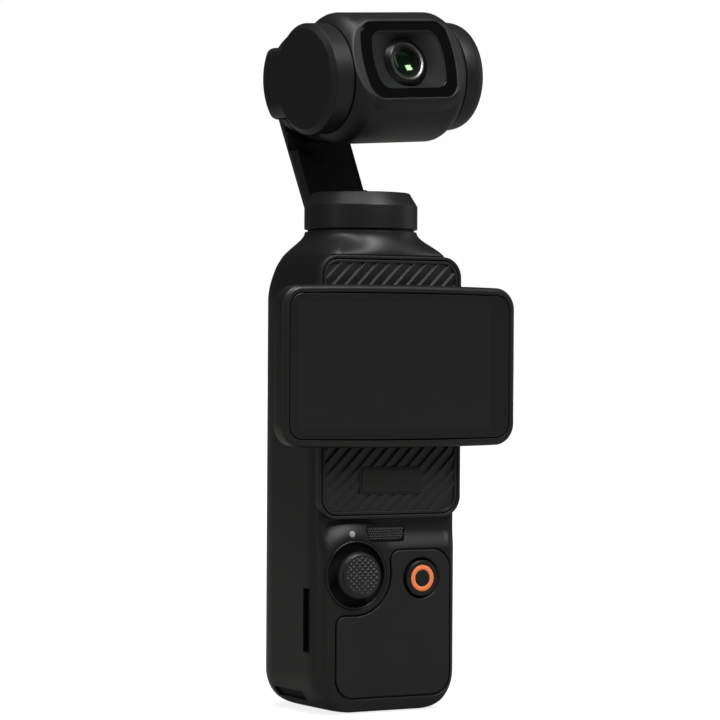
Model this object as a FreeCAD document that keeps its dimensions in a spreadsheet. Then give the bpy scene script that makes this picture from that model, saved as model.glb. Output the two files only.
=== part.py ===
"""Pocket gimbal camera, modelled piece by piece as a parametric document.

Lengths are millimetres and angles degrees. X is to the right of someone who faces the
screen, Y goes away from them and Z is up. The origin lies on the neck axis, on the flat
foot of the handle. The gimbal stands as it does in use: the head looks back over the
screen, turned a little to one side, with one end raised and the lens tipped up.
"""
import FreeCAD, Part
import math
import os
import re
import Sketcher
from FreeCAD import Placement, Rotation, Vector

doc = FreeCAD.newDocument("GimbalCamera")
sheet = doc.addObject("Spreadsheet::Sheet", "dims")

# Driving dimensions: alias, value, meaning
SIZES = [
    # Handle casing
    ("body_half", 16.35, "half the width of the handle"),
    ("body_front", 12.3, "front face of the lower handle, ahead of the neck axis"),
    ("body_back", 16.05, "back face, behind the neck axis"),
    ("front_round_x", 2.6, "front corner rounding, measured across"),
    ("front_round_y", 4.6, "front corner rounding, measured front to back"),
    ("rear_round", 9.5, "rear corner radius"),
    ("foot_round", 7.5, "radius of the two lower corners, seen from the front"),
    ("foot_edge", 2.2, "rounding of the foot's front and back edges"),
    ("shoulder_top", 95.5, "height of the shoulder's rim"),
    ("seam_drop", 12.9, "seam under the shoulder, below its rim"),
    ("seam_height", "=shoulder_top - seam_drop", "height of the seam under the shoulder"),
    ("casing_wall", 1.5, "wall of the casing shells"),
    ("seam_gap", 0.12, "gap in the casing seams"),
    ("split_front", 7.0, "seam between front and rear shell, ahead of the axis"),
    # Levels of the controls and of the island above them
    ("stick_z", 27.1, "joystick height"),
    ("record_drop", 1.0, "record button below the joystick"),
    ("record_z", "=stick_z - record_drop", "record button height"),
    ("grille_rise", 8.4, "grille above the joystick"),
    ("grille_z", "=stick_z + grille_rise", "height of the grille's middle"),
    ("island_rise", 2.9, "island's lower edge above the grille's middle"),
    ("island_drop", 5.3, "island's upper edge below the shoulder's rim"),
    ("island_low", "=grille_z + island_rise", "height of the island's lower edge"),
    ("island_high", "=shoulder_top - island_drop", "height of the island's upper edge"),
    ("island_height", "=island_high - island_low", "height of the raised island"),
    ("island_middle", "=(island_high + island_low) / 2", "height of the island's middle"),
    # Island with the ribbed plate
    ("island_round", 4.2, "corner radius of the island"),
    ("island_front", 12.4, "front of the island, ahead of the axis"),
    ("island_floor", 11.0, "floor under the ribbed plate, ahead of the axis"),
    ("frame_strip", 0.66, "width of the island's frame"),
    ("plate_gap", 0.12, "gap round plates, pads and covers"),
    ("rib_pitch", 2.8, "sideways pitch of the diagonal ribs"),
    ("rib_width", 0.95, "width of one rib, square to its run"),
    ("rib_depth", 0.35, "height of the ribs"),
    ("rib_border", 1.1, "plain border round the ribs"),
    ("badge_width", 13.3, "width of the blank badge plate"),
    ("badge_height", 4.5, "height of the blank badge plate"),
    ("badge_rise", 7.5, "badge's middle above the island's lower edge"),
    ("badge_middle", "=island_low + badge_rise", "height of the badge's middle"),
    ("badge_proud", 0.1, "badge face ahead of the ribs"),
    # Lower pad
    ("pad_left", 12.2, "left edge of the soft pad"),
    ("pad_right", 13.5, "right edge of the soft pad"),
    ("pad_low", 3.4, "lower edge of the soft pad"),
    ("pad_rise", 4.8, "upper edge of the soft pad above the joystick"),
    ("pad_drop", 7.7, "edge of the pad under the joystick, below its middle"),
    ("pad_high", "=stick_z + pad_rise", "height of the pad's upper edge"),
    ("pad_step", "=stick_z - pad_drop", "height of the pad's edge under the joystick"),
    ("pad_round", 4.0, "corner radius of the soft pad"),
    ("pad_recess", 0.6, "depth of the pad's recess"),
    ("pad_proud", 0.05, "pad face ahead of the shell"),
    ("pad_moat", 8.1, "radius of the pad's bay round the joystick"),
    # Joystick
    ("stick_x", 7.9, "joystick axis, left of the middle"),
    ("well_radius", 6.45, "radius of the joystick well"),
    ("well_floor", 9.6, "floor of the joystick well, ahead of the axis"),
    ("well_wall", 0.8, "wall of the joystick well"),
    ("rim_width", 0.55, "width of the trim ring round the well"),
    ("rim_proud", 0.2, "trim ring ahead of the shell"),
    ("stick_pivot", 6.5, "pivot of the joystick, ahead of the axis"),
    ("cap_radius", 4.65, "radius of the joystick cap"),
    ("cap_back", 12.75, "underside of the joystick cap, ahead of the axis"),
    ("cap_front", 15.0, "face of the joystick cap, ahead of the axis"),
    ("knurl_radius", 4.1, "radius of the textured disc"),
    ("knurl_height", 0.2, "thickness of the textured disc"),
    ("stem_radius", 1.6, "radius of the joystick stem"),
    ("stem_hole", 3.0, "radius of the opening in the well's floor"),
    ("gimbal_ring", 3.0, "half the side of the joystick's cradle ring"),
    ("gimbal_thick", 1.1, "half the thickness of the cradle ring"),
    ("gimbal_wall", 0.85, "wall of the cradle ring"),
    ("trunnion_radius", 0.6, "radius of the joystick's pivot pins"),
    ("running_gap", 0.05, "radial clearance of pins and shafts"),
    ("ear_width", 1.1, "width of the ears that carry the cradle"),
    ("ear_gap", 0.5, "gap between cradle ring and ears"),
    # Record button
    ("record_x", 7.5, "record button, right of the middle"),
    ("record_radius", 3.7, "radius of the record cap"),
    ("record_gap", 0.35, "gap round the record cap"),
    ("record_proud", 0.35, "face of the record cap ahead of the shell"),
    ("record_flange", 4.5, "radius of the flange that holds the cap in"),
    ("record_stroke", 0.4, "travel of the record button"),
    ("mark_outer", 2.42, "outer radius of the coloured ring"),
    ("mark_inner", 1.6, "inner radius of the coloured ring"),
    ("mark_depth", 0.3, "depth of the ring's groove"),
    ("plunger_radius", 1.2, "radius of the button's plunger"),
    ("switch_side", 4.4, "side of the record switch"),
    ("switch_tall", 2.4, "height of the record switch off the board"),
    # Grille and light
    ("grille_x", 0.4, "middle of the grille, left of the middle"),
    ("grille_width", 9.2, "width of the grille at its top"),
    ("grille_foot", 8.2, "width of the grille at its bottom"),
    ("grille_height", 2.5, "height of the grille"),
    ("grille_depth", 0.6, "thickness of the grille"),
    ("grille_pitch", 0.62, "pitch of the grille's holes"),
    ("grille_hole", 0.18, "radius of the grille's holes"),
    ("grille_border", 0.4, "plain border of the grille"),
    ("light_x", 8.9, "status light, left of the middle"),
    ("light_radius", 0.6, "radius of the status light"),
    # Side and foot details
    ("slot_drop", 2.45, "upper end of the card slot below the joystick"),
    ("slot_length", 12.65, "length of the card slot"),
    ("slot_high", "=stick_z - slot_drop", "height of the card slot's upper end"),
    ("slot_low", "=slot_high - slot_length", "height of the card slot's lower end"),
    ("slot_front", 8.75, "front edge of the card slot, ahead of the axis"),
    ("slot_back", 6.75, "back edge of the deep slot, ahead of the axis"),
    ("slot_step", 5.0, "back edge of the shallow step, ahead of the axis"),
    ("step_depth", 0.5, "depth of the shallow step"),
    ("card_depth", 13.4, "depth of the card socket"),
    ("card_inset", 0.3, "card socket behind the casing and inside the slot's ends"),
    ("latch_length", 13.0, "length of the latch notch at the foot"),
    ("latch_height", 2.4, "height of the latch notch"),
    ("latch_depth", 0.7, "depth of the latch notch"),
    ("latch_middle", 2.0, "middle of the latch notch, behind the axis"),
    ("port_width", 8.94, "width of the charging socket"),
    ("port_height", 3.16, "height of the charging socket"),
    ("port_wall", 0.3, "wall of the charging socket"),
    ("port_depth", 7.0, "depth of the charging socket"),
    ("port_back", 2.0, "middle of the charging socket, behind the axis"),
    ("tongue_width", 6.7, "width of the socket's tongue"),
    ("tongue_thick", 0.7, "thickness of the socket's tongue"),
    # Inside the handle
    ("board_front", 3.2, "front of the main board, ahead of the axis"),
    ("board_thick", 1.0, "thickness of the main board"),
    ("board_half", 12.5, "half the width of the main board"),
    ("board_low", 9.0, "lower end of the main board"),
    ("board_drop", 17.5, "upper end of the main board below the shoulder's rim"),
    ("board_high", "=shoulder_top - board_drop", "height of the main board's upper end"),
    ("frame_gap", 1.0, "gap between main board and frame"),
    ("frame_thick", 1.5, "thickness of the inner frame"),
    ("cell_half", 12.3, "half the width of the battery"),
    ("cell_thick", 9.0, "thickness of the battery"),
    ("cell_drop", 29.5, "upper end of the battery below the shoulder's rim"),
    ("cell_high", "=shoulder_top - cell_drop", "height of the battery's upper end"),
    ("screw_radius", 0.9, "radius of the casing screws"),
    # Screen
    ("screen_width", 53.4, "width of the screen housing, sideways"),
    ("screen_side", -0.6, "screen's middle, right of the handle's middle"),
    ("screen_height", 31.8, "height of the screen housing, sideways"),
    ("screen_rise", 4.3, "screen's middle above the island's middle"),
    ("screen_middle", "=island_middle + screen_rise", "height of the screen's middle"),
    ("screen_back", 12.9, "back of the screen housing, ahead of the axis"),
    ("screen_front", 17.45, "face of the screen, ahead of the axis"),
    ("screen_round", 4.2, "corner radius of the screen housing"),
    ("screen_edge", 1.3, "rounding of the housing's back edge"),
    ("bezel_edge", 0.9, "rounding of the housing's front edge"),
    ("glass_width", 50.2, "width of the cover glass"),
    ("glass_height", 28.2, "height of the cover glass"),
    ("glass_round", 2.8, "corner radius of the cover glass"),
    ("glass_thick", 0.85, "thickness of the cover glass"),
    ("panel_thick", 1.2, "thickness of the display panel"),
    ("hinge_x", 2.15, "screen hinge, right of the middle"),
    ("hinge_rise", 2.15, "screen hinge above the island's middle"),
    ("hinge_z", "=island_middle + hinge_rise", "height of the screen hinge"),
    ("hinge_disc", 8.0, "radius of the hinge plate"),
    ("hinge_sink", 1.0, "thickness of the hinge plate"),
    ("hinge_radius", 3.0, "radius of the hinge shaft"),
    ("bush_wall", 1.2, "wall of the hinge bush"),
    ("washer_radius", 4.6, "radius of the hinge washer"),
    ("washer_thick", 0.6, "thickness of the hinge washer"),
    # Neck and pan motor
    ("neck_radius", 11.43, "radius of the neck ring"),
    ("collar_radius", 10.75, "radius of the collar in the neck groove"),
    ("collar_rise", 0.35, "height of the collar above the shoulder"),
    ("neck_gap", 0.15, "gap between collar and neck ring"),
    ("ring_side", 5.2, "neck ring's narrowing edge above the shoulder's rim"),
    ("ring_slope", 2.7, "height of the neck ring's sloped edge"),
    ("ring_edge", "=shoulder_top + ring_side", "height where the neck ring starts to narrow"),
    ("ring_top", "=ring_edge + ring_slope", "height of the neck ring's top"),
    ("ring_top_radius", 9.75, "radius of the neck ring's top"),
    ("ring_cavity", 9.9, "radius of the motor space in the neck ring"),
    ("ring_roof", 2.4, "thickness of the neck ring's roof"),
    ("shaft_radius", 1.5, "radius of the motor shafts"),
    ("bearing_radius", 3.2, "outer radius of the motor bearings"),
    ("motor_gap", 0.6, "gap between a stator and its rotor cap"),
    ("collar_depth", 5.1, "depth of the collar below the shoulder's rim"),
    ("collar_spigot", 7.95, "radius of the collar inside the shoulder"),
    # Arm
    ("arm_half", 6.85, "half the width of the arm"),
    ("arm_foot", 8.6, "front of the arm at the neck ring's top, behind the axis"),
    ("arm_back_foot", 13.7, "back of the arm at its lower end, behind the axis"),
    ("arm_sink", 3.2, "lower end of the arm below the neck ring's top"),
    ("arm_low", "=ring_top - arm_sink", "height of the arm's lower end"),
    ("head_rise", 23.3, "roll and tilt axes above the neck ring's top"),
    ("head_height", "=ring_top + head_rise", "height of the roll and tilt axes"),
    ("bend_drop", 4.9, "bend of the arm's front below the head's centre"),
    ("back_bend_drop", 6.5, "bend of the arm's back below the head's centre"),
    ("arm_bend", "=head_height - bend_drop", "height where the arm's front turns upright"),
    ("arm_back_bend", "=head_height - back_bend_drop", "height where its back turns upright"),
    ("arm_front_top", 17.9, "front of the arm's head, behind the axis"),
    ("arm_back_top", 24.4, "back of the arm's head, behind the axis"),
    ("arm_back_round", 4.5, "rounding of the arm's rear edges"),
    ("arm_boss", 7.2, "radius of the roll motor housing"),
    ("arm_wall", 1.2, "wall of the roll motor housing"),
    ("arm_relief", 12.3, "radius cut free for the roll bracket's disc"),
    ("notch_radius", 15.7, "radius cut free for the bracket's side arm"),
    ("notch_side", 2.2, "inner side of that cut, left of the middle"),
    ("notch_back", 17.0, "rear of that cut, behind the axis"),
    ("cover_thick", 1.0, "thickness of the arm's front cover"),
    ("cover_strip", 0.65, "strip of the arm beside its cover"),
    ("arm_screw_x", 4.1, "arm screws, each side of the middle"),
    ("arm_screw_rise", 6.5, "arm screws above the neck ring's top"),
    ("arm_screw_radius", 0.5, "radius of the arm screws"),
    # Gimbal pose
    ("pan_rest", 3.7, "pan angle at rest"),
    ("roll_rest", -3.9, "roll angle at rest"),
    ("tilt_rest", -15.0, "tilt angle at rest"),
    # Roll bracket, measured from the head's centre
    ("bracket_radius", 11.9, "radius of the disc behind the head"),
    ("bracket_half", 7.3, "half the height of the bracket's side arm"),
    ("bracket_front", 14.3, "front of the disc and of the wall beside it"),
    ("bracket_back", 17.3, "back of the disc"),
    ("bracket_edge", 1.4, "rounding of the disc's rear edge"),
    ("bracket_arc", 11.5, "radius of the side arm's rear end, seen from the side"),
    ("bracket_turn", 3.0, "rounding between the side arm's face and its rear end"),
    ("side_thick", 2.0, "thickness of the bracket's side plate"),
    ("drum_face", 14.0, "flat left face of the tilt drum"),
    ("drum_end", 9.2, "open end of the tilt drum"),
    ("drum_radius", 11.1, "radius of the tilt drum"),
    ("drum_face_radius", 10.05, "radius of the drum's flat face"),
    ("drum_wall", 1.2, "wall of the tilt drum"),
    # Camera head, measured from the head's centre
    ("barrel_left", 8.85, "left end of the camera barrel"),
    ("barrel_right", 18.05, "right end of the camera barrel"),
    ("barrel_radius", 13.2, "main radius of the camera barrel"),
    ("barrel_end_radius", 11.1, "radius of the barrel's ends"),
    ("barrel_slope_left", 3.2, "length of the barrel's left shoulder"),
    ("barrel_slope_right", 3.2, "length of the barrel's right shoulder"),
    ("barrel_wall", 1.4, "wall of the camera barrel"),
    ("lens_x", 4.6, "lens axis, right of the head's centre"),
    ("window_front", 11.0, "front of the window, ahead of the tilt axis"),
    ("window_width", 22.0, "width of the window"),
    ("window_height", 16.1, "height of the window"),
    ("window_round", 4.6, "corner radius of the window"),
    ("window_lip", 0.4, "lip round the window"),
    ("window_thick", 1.1, "thickness of the window frame"),
    ("inset_width", 17.3, "width of the plate round the lens"),
    ("inset_height", 12.2, "height of the plate round the lens"),
    ("inset_round", 3.5, "corner radius of the plate round the lens"),
    ("inset_sink", 0.25, "lens plate behind the window frame's face"),
    ("lens_hole", 4.95, "radius of the hole round the lens"),
    ("lens_rim", 3.98, "outer radius of the bright lens ring"),
    ("lens_bore", 3.5, "inner radius of the bright lens ring"),
    ("lens_length", 7.5, "length of the lens barrel"),
    ("lens_inner", 2.7, "radius of the lens barrel's bore"),
    ("cap_face", 23.06, "outer face of the end cap"),
    ("cap_gap", 0.25, "groove between barrel and end cap"),
    ("cap_rim_radius", 9.84, "radius of the end cap's face"),
    ("cap_slope", 2.2, "length of the end cap's rounded edge"),
]
for row, (alias, value, meaning) in enumerate(SIZES, start=1):
    sheet.set("A%d" % row, meaning)
    sheet.set("B%d" % row, str(value))
    sheet.setAlias("B%d" % row, alias)
doc.recompute()

QUARTER_TURN_WEIGHT = math.sqrt(0.5)
OVERCUT = 1.0  # how far a cutting shape runs past the face that it opens


def formula(text):
    """Text in aliases, such as 'body_half - casing_wall', as a sheet expression."""
    return re.sub(r"[a-z]+(_[a-z]+)+", lambda word: "dims." + word.group(0), str(text))


def size(text):
    """The number that a text in aliases comes to."""
    return float(sheet.evalExpression(formula(text)))


def bind(item, **texts):
    for name, text in texts.items():
        item.setExpression(name, formula(text))
    return item


def seat(item, x=0, y=0, z=0, turn=None):
    """Turns an item and ties its place to the sheet."""
    item.Placement = Placement(Vector(size(x), size(y), size(z)), turn or Rotation())
    for axis, text in zip("xyz", (x, y, z)):
        item.setExpression("Placement.Base." + axis, formula(text))
    return item


ALONG = {
    "x": Rotation(Vector(0, 1, 0), 90),
    "y": Rotation(Vector(1, 0, 0), -90),
    "z": Rotation(),
}


def block(name, x, y, z):
    """A box between pairs of bounds."""
    made = doc.addObject("Part::Box", name)
    for prop, (low, high) in zip(("Length", "Width", "Height"), (x, y, z)):
        bind(made, **{prop: "(%s) - (%s)" % (high, low)})
    return seat(made, x[0], y[0], z[0])


def along(made, axis, ends, at):
    """Lays a round item along an axis, from its first end, through a point."""
    bind(made, Height="(%s) - (%s)" % (ends[1], ends[0]))
    x, y, z = {"x": (ends[0], *at), "y": (at[0], ends[0], at[1]), "z": (*at, ends[0])}[axis]
    return seat(made, x, y, z, ALONG[axis])


def rod(name, axis, radius, ends, at=(0, 0)):
    """A cylinder; at is its place across the axis, in X, Y, Z order."""
    return along(bind(doc.addObject("Part::Cylinder", name), Radius=radius), axis, ends, at)


def taper(name, axis, radii, ends, at=(0, 0)):
    """A cone between two radii."""
    made = bind(doc.addObject("Part::Cone", name), Radius1=radii[0], Radius2=radii[1])
    return along(made, axis, ends, at)


def join(name, *items):
    made = doc.addObject("Part::MultiFuse", name)
    made.Shapes = list(items)
    return made


def cut(name, base, *tools):
    made = doc.addObject("Part::Cut", name)
    made.Base = base
    made.Tool = tools[0] if len(tools) == 1 else join(name + "_tools", *tools)
    return made


def common(name, base, tool):
    made = doc.addObject("Part::Common", name)
    made.Base = base
    made.Tool = tool
    return made


def tube(name, axis, outer, inner, ends, at=(0, 0)):
    longer = ("(%s) - %g" % (ends[0], OVERCUT), "(%s) + %g" % (ends[1], OVERCUT))
    return cut(name, rod(name + "_outside", axis, outer, ends, at),
               rod(name + "_bore", axis, inner, longer, at))


def rounded(name, base, radius, wanted):
    """Rounds the edges of an item that a test on the edge picks."""
    doc.recompute()
    amount = size(radius)
    made = doc.addObject("Part::Fillet", name)
    made.Base = base
    edges = enumerate(base.Shape.Edges, start=1)
    made.Edges = [(index, amount, amount) for index, edge in edges if wanted(edge)]
    return made


def in_plane(axis, text):
    """A test for edges that lie in one plane across an axis."""
    place = size(text)
    low, high = axis.upper() + "Min", axis.upper() + "Max"

    def test(edge):
        box = edge.BoundBox
        return abs(getattr(box, low) - place) < 0.01 and abs(getattr(box, high) - place) < 0.01
    return test


def sketch_on(body, plane):
    drawn = body.newObject("Sketcher::SketchObject", body.Name + "_sketch")
    support = [item for item in body.Origin.OriginFeatures if item.Role == plane][0]
    drawn.AttachmentSupport = [(support, "")]
    drawn.MapMode = "FlatFace"
    return drawn


def fix_point(drawn, index, end, spot):
    """Ties one end of a sketch line to the sheet."""
    for kind, text in zip(("DistanceX", "DistanceY"), spot):
        tie = Sketcher.Constraint(kind, -1, 1, index, end, size(text))
        drawn.setExpression("Constraints[%d]" % drawn.addConstraint(tie), formula(text))


def polygon(body, plane, outline):
    """A closed sketch through points given in aliases."""
    drawn = sketch_on(body, plane)
    spots = [Vector(size(a), size(b), 0) for a, b in outline]
    count = len(spots)
    for index in range(count):
        drawn.addGeometry(Part.LineSegment(spots[index], spots[(index + 1) % count]), False)
    for index in range(count):
        following = (index + 1) % count
        drawn.addConstraint(Sketcher.Constraint("Coincident", index, 2, following, 1))
        fix_point(drawn, index, 1, outline[index])
    return drawn


def padded(name, drawn, body, length, both_ways=False):
    pad = body.newObject("PartDesign::Pad", name + "_pad")
    pad.Profile = drawn
    pad.Midplane = both_ways
    bind(pad, Length=length)
    body.Tip = pad
    return body


def prism(name, plane, outline, length, both_ways=False):
    """A straight-sided outline carried along its plane's normal."""
    body = doc.addObject("PartDesign::Body", name)
    return padded(name, polygon(body, plane, outline), body, length, both_ways)


def turned(name, outline):
    """A profile of (distance along X, radius) points turned about the X axis."""
    body = doc.addObject("PartDesign::Body", name)
    drawn = polygon(body, "XY_Plane", outline)
    turn = body.newObject("PartDesign::Revolution", name + "_turn")
    turn.Profile = drawn
    turn.ReferenceAxis = ([i for i in body.Origin.OriginFeatures if i.Role == "X_Axis"][0], [""])
    turn.Angle = 360
    body.Tip = turn
    return body


def tile(name, width, height, radius, faces, at=(0, 0)):
    """A plate with round corners that faces forward; at is its middle in X and Z.

    The sketch's lines and corner arcs meet at tangents, and faces gives the plate's
    front and back as distances in Y.
    """
    body = doc.addObject("PartDesign::Body", name)
    drawn = sketch_on(body, "XZ_Plane")
    across, up, turn = size(width) / 2, size(height) / 2, size(radius)
    corners = [(across - turn, up - turn, 0), (turn - across, up - turn, 90),
               (turn - across, turn - up, 180), (across - turn, turn - up, 270)]
    for x, z, start in corners:
        circle = Part.Circle(Vector(x, z, 0), Vector(0, 0, 1), turn)
        low = math.radians(start)
        drawn.addGeometry(Part.ArcOfCircle(circle, low, low + math.pi / 2), False)
    for index in range(4):
        one, two = drawn.Geometry[index], drawn.Geometry[(index + 1) % 4]
        drawn.addGeometry(Part.LineSegment(one.EndPoint, two.StartPoint), False)
    for index in range(4):
        line = index + 4
        drawn.addConstraint(Sketcher.Constraint("Tangent", index, 2, line, 1))
        drawn.addConstraint(Sketcher.Constraint("Tangent", line, 2, (index + 1) % 4, 1))
    for index in (4, 6):
        drawn.addConstraint(Sketcher.Constraint("Horizontal", index))
    for index in (5, 7):
        drawn.addConstraint(Sketcher.Constraint("Vertical", index))
    for index in range(1, 4):
        drawn.addConstraint(Sketcher.Constraint("Equal", 0, index))
    for kind, first, second, text in (
        ("Radius", 0, None, radius),
        ("DistanceX", (-1, 1), (7, 1), "(%s) / 2" % width),
        ("DistanceX", (5, 1), (-1, 1), "(%s) / 2" % width),
        ("DistanceY", (-1, 1), (4, 1), "(%s) / 2" % height),
        ("DistanceY", (6, 1), (-1, 1), "(%s) / 2" % height),
    ):
        ends = (first,) if second is None else (*first, *second)
        tie = drawn.addConstraint(Sketcher.Constraint(kind, *ends, size(text)))
        drawn.setExpression("Constraints[%d]" % tie, formula(text))
    padded(name, drawn, body, "(%s) - (%s)" % (faces[1], faces[0]))
    return seat(body, at[0], faces[1], at[1])


def stated(name, shape):
    """A feature whose shape is worked out here, from the sheet's numbers."""
    made = doc.addObject("Part::Feature", name)
    made.Shape = shape
    return made


pieces = {}
pan_turn = Rotation(Vector(0, 0, 1), size("pan_rest"))
roll_turn = pan_turn * Rotation(Vector(0, 1, 0), size("roll_rest"))
tilt_turn = roll_turn * Rotation(Vector(1, 0, 0), size("tilt_rest"))
GROUPS = {
    "handle": (None, 0),
    "pan": (pan_turn, 0),
    "roll": (roll_turn, "head_height"),
    "tilt": (tilt_turn, "head_height"),
}


def piece(node, item, group="handle"):
    """Names a finished sub-part and stands it where its gimbal stage holds it."""
    turn, height = GROUPS[group]
    if turn is not None:
        held = doc.addObject("Part::Compound", node + "_held")
        held.Links = [item]
        item = seat(held, 0, 0, height, turn)
    item.Label = node
    pieces[node] = item
    return item


# Sections of the casing, lofted as shapes because their corners change from level to level
def casing_section(half, front, back, front_corner, rear_corner, height):
    """One level of the casing: straight sides and quarter ellipses at the corners.

    front_corner and rear_corner give each corner's extent across and front to back.
    """
    spots = []
    for side, near, corner in ((1, -front, front_corner), (1, back, rear_corner),
                               (-1, back, rear_corner), (-1, -front, front_corner)):
        inward = math.copysign(corner[1], -near)
        on_side = Vector(side * half, near + inward, height)
        on_face = Vector(side * (half - corner[0]), near, height)
        rising = (side > 0) == (near < 0)
        first, last = (on_face, on_side) if rising else (on_side, on_face)
        spots.append((first, Vector(side * half, near, height), last))
    edges = []
    for index, (first, tip, last) in enumerate(spots):
        curve = Part.BSplineCurve()
        curve.buildFromPolesMultsKnots([first, tip, last], [3, 3], [0.0, 1.0], False, 2,
                                       [1.0, QUARTER_TURN_WEIGHT, 1.0])
        edges.append(curve.toShape())
        edges.append(Part.LineSegment(last, spots[(index + 1) % 4][0]).toShape())
    return Part.Wire(edges)


def handle_level(inset, height, shrink_x=0.0, shrink_y=0.0):
    """A level of the straight handle, inset by a wall and drawn in towards the foot."""
    half = size("body_half") - inset
    front, back = size("body_front") - inset, size("body_back") - inset
    across, deep = (half - shrink_x) / half, 1 - 2 * shrink_y / (front + back)
    front_x = max(size("front_round_x") - inset, 0.8)
    front_y = max(size("front_round_y") - inset, 1.6)
    rear = size("rear_round") - inset
    return casing_section(half * across, front - shrink_y, back - shrink_y,
                          (front_x * across, front_y * deep),
                          (rear * across, rear * deep), height)


FOOT_LEVELS = (0.0, 0.04, 0.13, 0.28, 0.48, 0.72, 1.0)  # shares of the lower corner's height


def drawn_in(radius, rise):
    """How far a quarter-round edge of a radius has come in, at a height above its foot."""
    return radius - math.sqrt(max(radius**2 - max(radius - rise, 0.0)**2, 0.0))


def handle_form(inset, top):
    """The handle below the shoulder as one solid, inset by a wall."""
    corner = size("foot_round") - inset
    edge = max(size("foot_edge") - inset, 0.5)
    levels = []
    for share in FOOT_LEVELS:
        rise = corner * share
        levels.append(handle_level(inset, inset + rise, drawn_in(corner, rise),
                                   drawn_in(edge, rise)))
    foot = Part.makeLoft(levels, True, False)
    base = Part.Face(handle_level(inset, inset + corner))
    return foot.fuse(base.extrude(Vector(0, 0, top - inset - corner)))


# Height above the seam, as a share of the shoulder's, and how much of the flare is left
SHOULDER_FLARE = ((0.0, 1.0), (0.16, 0.955), (0.31, 0.88), (0.47, 0.775), (0.64, 0.59),
                  (0.77, 0.34), (0.86, 0.15), (0.93, 0.035), (1.0, 0.0))
NECK_CORNER = 0.985  # the neck's corner arcs, as a share of its radius


def shoulder_form(inset, low, high):
    """The shoulder from the handle's section up to the round neck, inset by a wall."""
    neck = size("neck_radius") - inset
    half = size("body_half") - inset
    front, back = size("body_front") - inset, size("body_back") - inset
    front_x = max(size("front_round_x") - inset, 0.8)
    front_y = max(size("front_round_y") - inset, 1.6)
    rear = size("rear_round") - inset
    round_neck = neck * NECK_CORNER

    def between(share, wide):
        return round_neck + share * (wide - round_neck)
    levels = []
    for rise, flare in SHOULDER_FLARE:
        levels.append(casing_section(
            neck + flare * (half - neck), neck + flare * (front - neck),
            neck + flare * (back - neck), (between(flare, front_x), between(flare, front_y)),
            (between(flare, rear), between(flare, rear)), low + rise * (high - low)))
    return Part.makeLoft(levels, True, False)


wall = size("casing_wall")
handle_outer = stated("handle_outer", handle_form(0.0, size("seam_height")))
handle_inner = stated("handle_inner", handle_form(wall, size("seam_height") + OVERCUT))
shoulder_outer = stated("shoulder_outer", shoulder_form(
    0.0, size("seam_height + seam_gap"), size("shoulder_top")))
shoulder_inner = stated("shoulder_inner", shoulder_form(
    wall, size("seam_height") - OVERCUT, size("shoulder_top - casing_wall")))

WIDE = "body_half + 4"
island_width = "body_half * 2"


def rear_shell():
    """The tube's back and sides with its foot, the card slot and the latch notches."""
    back_half = block("rear_half", ("-(%s)" % WIDE, WIDE), ("-split_front", "body_back + 4"),
                      ("-1", "seam_height + 2"))
    solid = common("rear_solid", handle_outer, back_half)
    slot = card_opening("card_opening")
    step = block("card_step", ("-body_half - 1", "-body_half + step_depth"),
                 ("-slot_front", "-slot_step"), ("slot_low", "slot_high"))
    port = tile_hole("port_opening", "port_width + 0.2", "port_height + 0.2",
                     ("-1", "casing_wall + 1"), "port_back")
    notches = [latch_notch("left_notch", -1), latch_notch("right_notch", 1)]
    return cut("rear_casing", solid, handle_inner, slot, step, port, *notches)


def card_opening(name):
    """The deep slot for the card, which crosses the seam between the shells."""
    return block(name, ("-body_half - 1", "-body_half + casing_wall + 0.5"),
                 ("-slot_front", "-slot_back"), ("slot_low", "slot_high"))


def tile_hole(name, width, height, ends, back):
    """A slot with round ends that runs up through the foot."""
    middle = block(name + "_middle", ("-((%s) - (%s)) / 2" % (width, height),
                                      "((%s) - (%s)) / 2" % (width, height)),
                   ("%s - (%s) / 2" % (back, height), "%s + (%s) / 2" % (back, height)), ends)
    rounds = [rod(name + side, "z", "(%s) / 2" % height, ends,
                  ("%s((%s) - (%s)) / 2" % (sign, width, height), back))
              for side, sign in (("_left", "-"), ("_right", ""))]
    return join(name, middle, *rounds)


NOTCH_LEAN = 37.0  # degrees that the notch leans, square to the rounded corner
NOTCH_SPOT = 0.60  # place of the notch on the corner's quarter turn, as sine of its angle


def latch_notch(name, side):
    """A shallow pocket across the rounded lower corner, for a clip-on accessory."""
    made = doc.addObject("Part::Box", name)
    bind(made, Length="latch_depth * 2", Width="latch_length", Height="latch_height")
    turn = Rotation(Vector(0, 1, 0), side * NOTCH_LEAN)
    corner = size("foot_round")
    across = size("body_half") - corner + corner * math.cos(math.asin(NOTCH_SPOT))
    height = corner - corner * NOTCH_SPOT
    middle = Vector(side * across, 0, height)
    half = Vector(size("latch_depth"), 0, size("latch_height") / 2)
    made.Placement = Placement(middle - turn.multVec(half), turn)
    made.setExpression("Placement.Base.y", formula("latch_middle - latch_length / 2"))
    return made


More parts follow.
